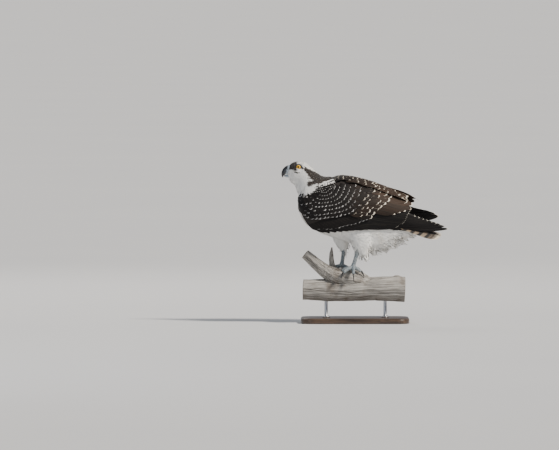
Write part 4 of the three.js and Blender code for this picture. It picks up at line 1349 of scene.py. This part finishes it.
# Along a shank: the share of the way from ankle to knuckle, half depth and half width
SHANK = [
    (-0.12, TARSUS_TOP, TARSUS_TOP), (0.3, TARSUS_WAIST * 1.12, TARSUS_WAIST),
    (0.75, TARSUS_WAIST * 1.05, TARSUS_WAIST), (0.94, TARSUS_FOOT * 0.95, TARSUS_FOOT * 0.95),
    (1.06, TARSUS_FOOT * 0.8, TARSUS_FOOT * 0.8),
]
TOE, TOE_END = 5.4, 3.9
CLAW_DEEP, CLAW_LONG = 3.3, 27
# Each toe's heading, reach and drop, and how much its claw droops
LEGS = {
    "left": {
        "ankle": [10, -35, 226],
        "knuckle": [-6, -29, 172],
        "toes": {
            "inner": (2.9, 33, 7, 9),
            "middle": (3.75, 35, 12, 19),
            "outer": (4.75, 24, 17, 24),
            "hind": (0.12, 23, 9, 16),
        },
    },
    "right": {
        "ankle": [-32, 33, 230],
        "knuckle": [-40, 27, 176],
        "toes": {
            "inner": (3.35, 33, 4, 9),
            "middle": (2.5, 34, 14, 20),
            "outer": (1.4, 26, 20, 24),
            "hind": (6.1, 24, 10, 12),
        },
    },
}


def plates(run, angle):
    """Broad scales across the front and the back of a shank."""
    edges = np.abs(np.sin(run * 0.75 + 0.6 * np.sin(angle * 4))) ** 0.5
    return 0.45 * edges * (0.5 + 0.5 * np.abs(np.cos(angle))) - 0.2


def scutes(run, angle):
    """Stepped scales on a toe's upper side, and pads under it."""
    upper = ease(-np.cos(angle) * 1.5 + 0.3)
    step = (run / 3.4) % 1.0
    pads = np.maximum(0, np.cos(angle)) * 1.1 * np.abs(np.sin(run * 0.3)) ** 0.7
    return upper * 0.55 * (step**0.5 - 0.5) + pads


def toe_path(knuckle, turn, reach, drop):
    """Where a toe goes, over the branch and down beside it, and the way across it."""
    out = np.array([math.cos(turn), math.sin(turn), 0])
    falls = [2, 4 + drop * 0.1, 4 + drop * 0.5, 5 + drop]
    path = [knuckle + out * reach * share - [0, 0, fall] for share, fall in zip([0, 0.4, 0.75, 1], falls)]
    return path, out, (-math.sin(turn), math.cos(turn), 0)


def claw_rows(root, out, droop):
    """A claw that curves down from the toe's tip to its point."""
    rows = []
    for t in np.linspace(0, 1, 9):
        bend = t * 1.5 + 0.25
        run = CLAW_LONG * 0.42 * math.sin(bend)
        fall = CLAW_LONG * 0.62 * (1 - math.cos(bend)) + droop * 0.25 * t
        taper = t**1.3
        deep, wide = lerp(CLAW_DEEP, 0.3, taper), lerp(CLAW_DEEP * 0.8, 0.25, taper)
        rows.append([*(root + out * (run - 2) + [0, 0, 1 - fall]), deep, wide])
    return rows


def leg_pieces(name, leg, skin, horn):
    """A shank, the foot with its toes round the ball, and the claws."""
    ankle, knuckle = np.array(leg["ankle"], float), np.array(leg["knuckle"], float)
    shank = [[*lerp(ankle, knuckle, t), deep, wide] for t, deep, wide in SHANK]
    closed_limb(f"shank_{name}", limb(shank, 72, 32, relief=plates), skin, [f"tarsus_{name}"])
    ball = [[*(knuckle + [x, 0, -1]), r, r] for x, r in ((-9, 1), (-6, 5.6), (0, 7.9), (6, 5.6), (9, 1))]
    parts = [capped(*limb(ball, 20, 24))]
    for turn, reach, drop, _ in leg["toes"].values():
        path, _, across = toe_path(knuckle, turn, reach, drop)
        rows = [[*p, r, r] for p, r in zip(path, (TOE * 1.15, TOE, TOE * 0.92, TOE_END))]
        parts.append(capped(*limb(rows, 54, 26, across, scutes)))
    points, faces, layers = gathered(parts)
    piece(f"toes_{name}", points, faces, skin, [f"foot_{name}"], layers)
    for toe, (turn, reach, drop, droop) in leg["toes"].items():
        path, out, across = toe_path(knuckle, turn, reach, drop)
        claw = limb(claw_rows(path[-1], out, droop), 40, 20, across)
        closed_limb(f"talon_{name}_{toe}", claw, horn, [f"claw_{name}_{toe}"])


# Branch and stand

BRANCH = {"from": -158, "to": 152, "height": 101, "radius": 31, "growth": 7}


def cracked(length, girth, seed, cracks, deep):
    """A relief of long grooves and ridges along the grain, and how deep the groove at a place is."""
    rng = np.random.default_rng(seed)
    grooves = [
        (rng.uniform(0, 2 * math.pi), rng.uniform(-0.1, 0.8) * length, rng.uniform(0.2, 0.7) * length,
         rng.uniform(0.5, 1.0) * deep, rng.integers(1000), rng.uniform(0.7, 1.5))
        for _ in range(cracks)
    ]

    def opening(run, angle):
        total = 0
        for at, start, long, depth, kind, wide in grooves:
            line = at + 0.16 * wander(run / 60, kind)
            off = np.abs((angle - line + math.pi) % (2 * math.pi) - math.pi) * girth
            ends = ease((run - start) / 24) * ease((start + long - run) / 24)
            total = np.maximum(total, ends * np.exp(-((off / wide) ** 2)) * depth)
        return total

    def relief(run, angle):
        ridges = 0.55 * np.sin(angle * 11 + 1.2 * wander(run / 50, seed + 5))
        ridges = ridges + 0.4 * np.sin(angle * 23 + 1.5 * wander(run / 36, seed + 9))
        lumps = 1.1 * wander(run / 40 + 1.5 * np.cos(angle), seed + 2)
        lumps = lumps + 0.8 * wander(run / 25 + 2 * np.sin(angle), seed + 3)
        return ridges + lumps - opening(run, angle)

    return relief, opening


def wood_piece(name, rows, count, sides, material, node, seed, cracks, deep, shift=None):
    """A length of dead wood with a slightly crowned face over each end, split where its cracks are."""
    path = spine(rows, count)[-1]
    relief, opening = cracked(path[-1], rows[0][3], seed, cracks, deep)
    points, straight = limb(rows, count, sides, relief=relief)
    if shift is not None:
        points = shift(points)
    angle = np.linspace(0, 2 * math.pi, sides, endpoint=False)[None, :]
    shares = np.array([1, 0.97, 0.8, 0.6, 0.4, 0.2, 0.02])
    crown = 1.2 * (1 - shares**2) + np.where(shares > 0.98, 0, 0.6)
    # splits are drawn on the cut ends and the stem's grooves are measured by depth; the finish paints both
    # dark as the shade inside cracks
    splits = np.abs(wander(angle * 3, seed + 30)) ** 6 * shares[:, None]
    stem_cut = spread(points[..., 0], 0, 0, opening(path[:, None], angle) / deep)
    grids = [(points, straight, stem_cut, grid_faces(count, sides, closed=True))]
    for end, inward in ((0, 1), (-1, -2)):
        middle = points[end].mean(0)
        outward = unit(middle - points[inward].mean(0))
        face = middle + (points[end] - middle)[None] * shares[:, None, None] + outward * crown[:, None, None]
        face_grain = straight[end][None] * shares[:, None, None] * [0, 1, 1] + straight[end][None] * [1, 0, 0]
        disc = grid_faces(len(shares), sides, closed=True)
        grids.append((face, face_grain, spread(splits, 1, 0, splits), disc if end else disc[:, ::-1]))
    flat, faces, layers = gathered(
        (grid.reshape(-1, 3), own.tolist(), {"grain": grain.reshape(-1, 3), "cut": cut.reshape(-1, 3)})
        for grid, grain, cut, own in grids
    )
    return piece(name, flat, faces, material, [node], layers)


def main_stem_rows():
    """The main stem, nearly straight and a little thicker towards its knot."""
    rows = []
    for t in np.linspace(0, 1, 12):
        x = lerp(BRANCH["from"], BRANCH["to"], t)
        radius = BRANCH["radius"] + BRANCH["growth"] * t
        rows.append([x, 0, BRANCH["height"] + 2 * math.sin(x * 0.018), radius, radius])
    return rows


def knotted(points):
    """The swelling of an old knot on the stem's upper side."""
    spot = np.array([128, -6, 134])
    near = np.exp(-((np.linalg.norm((points - spot) * [0.85, 1, 1], axis=-1) / 11) ** 2))
    ring = swell(np.linalg.norm(points - spot, axis=-1), 7, 2.2)
    from_middle = points - spread(points[..., 0], points[..., 0], 0, BRANCH["height"])
    return points + unit(from_middle) * (near * 9 + ring * 1.6 - near**4 * 5)[..., None]


def branches(wood):
    """The main stem, its cut side stem and a broken twig."""
    side = [
        [52, 0, 112, 20, 22], [12, 0, 126, 29, 31], [-28, 0, 134, 30, 34], [-62, -1, 142, 27, 29],
        [-100, -3, 166, 18.5, 19], [-152, -5, 209, 14.5, 14.5],
    ]
    twig = [[-64, 14, 150, 11, 10], [-70, 16, 178, 8, 7], [-72, 17, 205, 5.5, 4.5], [-71, 17, 228, 1.6, 1.4]]
    wood_piece("main_stem", main_stem_rows(), 150, 176, wood, "perch_branch", 201, 22, 3.2, knotted)
    wood_piece("side_stem", side, 130, 132, wood, "perch_side_branch", 211, 16, 2.6)
    wood_piece("broken_twig", twig, 60, 48, wood, "perch_twig", 221, 6, 1.2)


def stand_board(material):
    """A board with round corners and a moulded edge."""
    long, wide, thick, corner = 330, 190, 16, 38
    # the edge: how high over the underside, and how far in
    edge = [
        [0, -6], [0, -1.5], [1.2, -0.4], [2.6, 0], [thick - 4.5, 0], [thick - 3.2, -0.5], [thick - 2.6, -1.6],
        [thick - 1.2, -2.4], [thick - 0.3, -4], [thick, -6.5], [thick, -40], [thick, -80],
    ]
    angle = np.linspace(0, 2 * math.pi, 160, endpoint=False)
    c, s = np.cos(angle), np.sin(angle)
    rings = []
    for z, inset in edge:
        r = max(corner + inset, 2)
        drawn_in = corner - min(0, corner + inset - 2)
        x, y = (np.sign(turn) * (size / 2 - drawn_in) + r * turn for turn, size in ((c, long), (s, wide)))
        rings.append(spread(angle, x, y, z))
    points = np.array(rings)
    closed_limb("base_board", (points, points), material, ["stand_base"])


def stand_rods(material):
    """Two turned rods, each with a collar on the board."""
    turned = [
        [10, 5.0], [16.05, 5.0], [16.05, 10.5], [17.2, 11.2], [19.5, 11.2], [20.8, 10.2], [21.2, 7.0],
        [22.5, 6.2], [24, 5.0], [70, 5.0], [92, 5.0],
    ]
    ring = np.linspace(0, 2 * math.pi, 48, endpoint=False)
    for x, name in ((-88, "front"), (92, "rear")):
        points = np.array([spread(ring, x + r * np.cos(ring), r * np.sin(ring), z) for z, r in turned])
        closed_limb(f"rod_{name}", (points, points), material, [f"stand_rod_{name}"])


# Assembly

coat = coat_finish()
skin_points, skin_faces = skin_mesh()
piece("skin", skin_points, skin_faces, skin_finish(), FLESH)
tree = BVHTree.FromPolygons(skin_points.tolist(), skin_faces)
body_coat(skin_points, skin_faces, tree, coat)
long_white_coverts(tree, coat)
fluff(tree, coat)

pad = ground_finish()
# each long feather finish: the web's colour in shade, a painted sunlit brown for the same web, and its fringe
flight = vane_finish("flight_feather", (0.0055, 0.0046, 0.0048), (0.03, 0.019, 0.013), FRINGE)
covert = vane_finish("covert_feather", (0.0056, 0.0043, 0.0042), (0.036, 0.022, 0.0145), (0.5, 0.49, 0.48))
scapular = vane_finish("scapular_feather", (0.0085, 0.006, 0.005), (0.062, 0.036, 0.0225), (0.82, 0.74, 0.62))
small_coverts, short_scapulars, white_line = covert_rows(), scapular_rows(), shoulder_line()
for side, name, drawn in ((None, "left", 0), (as_right, "right", DRAWN)):
    tiers = wing_tiers(drawn)
    wing_pad(f"wing_ground_{name}", pad, side)
    feather_piece(f"flight_feathers_{name}", tiers["flight"], flight, [f"wing_{name}"], side)
    feather_piece(f"coverts_{name}", tiers["coverts"] + small_coverts, covert, (), side)
    scapulars = tiers["scapulars"] + short_scapulars
    feather_piece(f"scapulars_{name}", scapulars, scapular, (), side)
    feather_piece(f"shoulder_line_{name}", white_line, coat, (), side)
feather_piece("back_feathers", back_feathers(), scapular)
feather_piece("tail_feathers", tail_feathers(), tail_finish(), ["tail"])
feather_piece("tail_coverts", upper_tail_coverts(), scapular)

lid = bare_skin_finish("lid_skin", (0.006, 0.0065, 0.008), (0.035, 0.04, 0.046))
gape = bare_skin_finish("gape_skin", (0.13, 0.16, 0.18), (0.36, 0.41, 0.45))
bill(horn_finish("bill_horn", (0.009, 0.0095, 0.012), (0.33, 0.38, 0.43), -209.5), gape)
eyes(eye_finish(), lid)
scales, talon = leg_finish(), claw_finish()
for name, leg in LEGS.items():
    leg_pieces(name, leg, scales, talon)
branches(wood_finish())
stand_board(board_finish())
stand_rods(steel_finish())

# Floor, light and camera


def aimed(name, data, place, aim):
    """A lamp or a camera at a place, which looks at another."""
    made = linked(name, data)
    made.location = place
    made.rotation_euler = (Vector(aim) - Vector(place)).to_track_quat("-Z", "Y").to_euler()
    return made


def lamp(name, kind, power, color, place, **settings):
    """A lamp that is aimed at the bird."""
    data = bpy.data.lights.new(name, kind)
    data.energy = power
    data.color = color
    for key, value in settings.items():
        setattr(data, key, value)
    aimed(name, data, place, (0, 0, 0.33))


bpy.ops.mesh.primitive_plane_add(size=900, location=(0, 0, -0.0004))
floor = bpy.context.object
floor.name = "floor"
floor.data.materials.append(floor_finish())

world = bpy.data.worlds.new("studio")
bpy.context.scene.world = world
world.use_nodes = True
sky = world.node_tree.nodes["Background"]
sky.inputs["Color"].default_value = (0.78, 0.84, 0.95, 1)
sky.inputs["Strength"].default_value = 0.34
lamp("key", "SUN", 5.3, (1, 0.94, 0.85), (1.5, -0.85, 1.98), angle=math.radians(9))
lamp("fill", "AREA", 22, (0.82, 0.9, 1), (-2.6, -3.2, 1.6), shape="DISK", size=2.4)
lamp("rim", "AREA", 30, (1, 0.97, 0.92), (-1.0, 3.0, 2.6), shape="DISK", size=1.6)

LENS, SENSOR = 500, 36
WIDE = 1.705  # how much the camera sees across at the bird, in metres
TARGET, TILT = Vector((-0.2303, 0, 0.298)), math.radians(2)
data = bpy.data.cameras.new("camera")
data.lens = LENS
data.sensor_width = SENSOR
data.clip_end = 2000
away = Vector((0, -math.cos(TILT), math.sin(TILT))) * WIDE * LENS / SENSOR
bpy.context.scene.camera = aimed("camera", data, TARGET + away, TARGET)
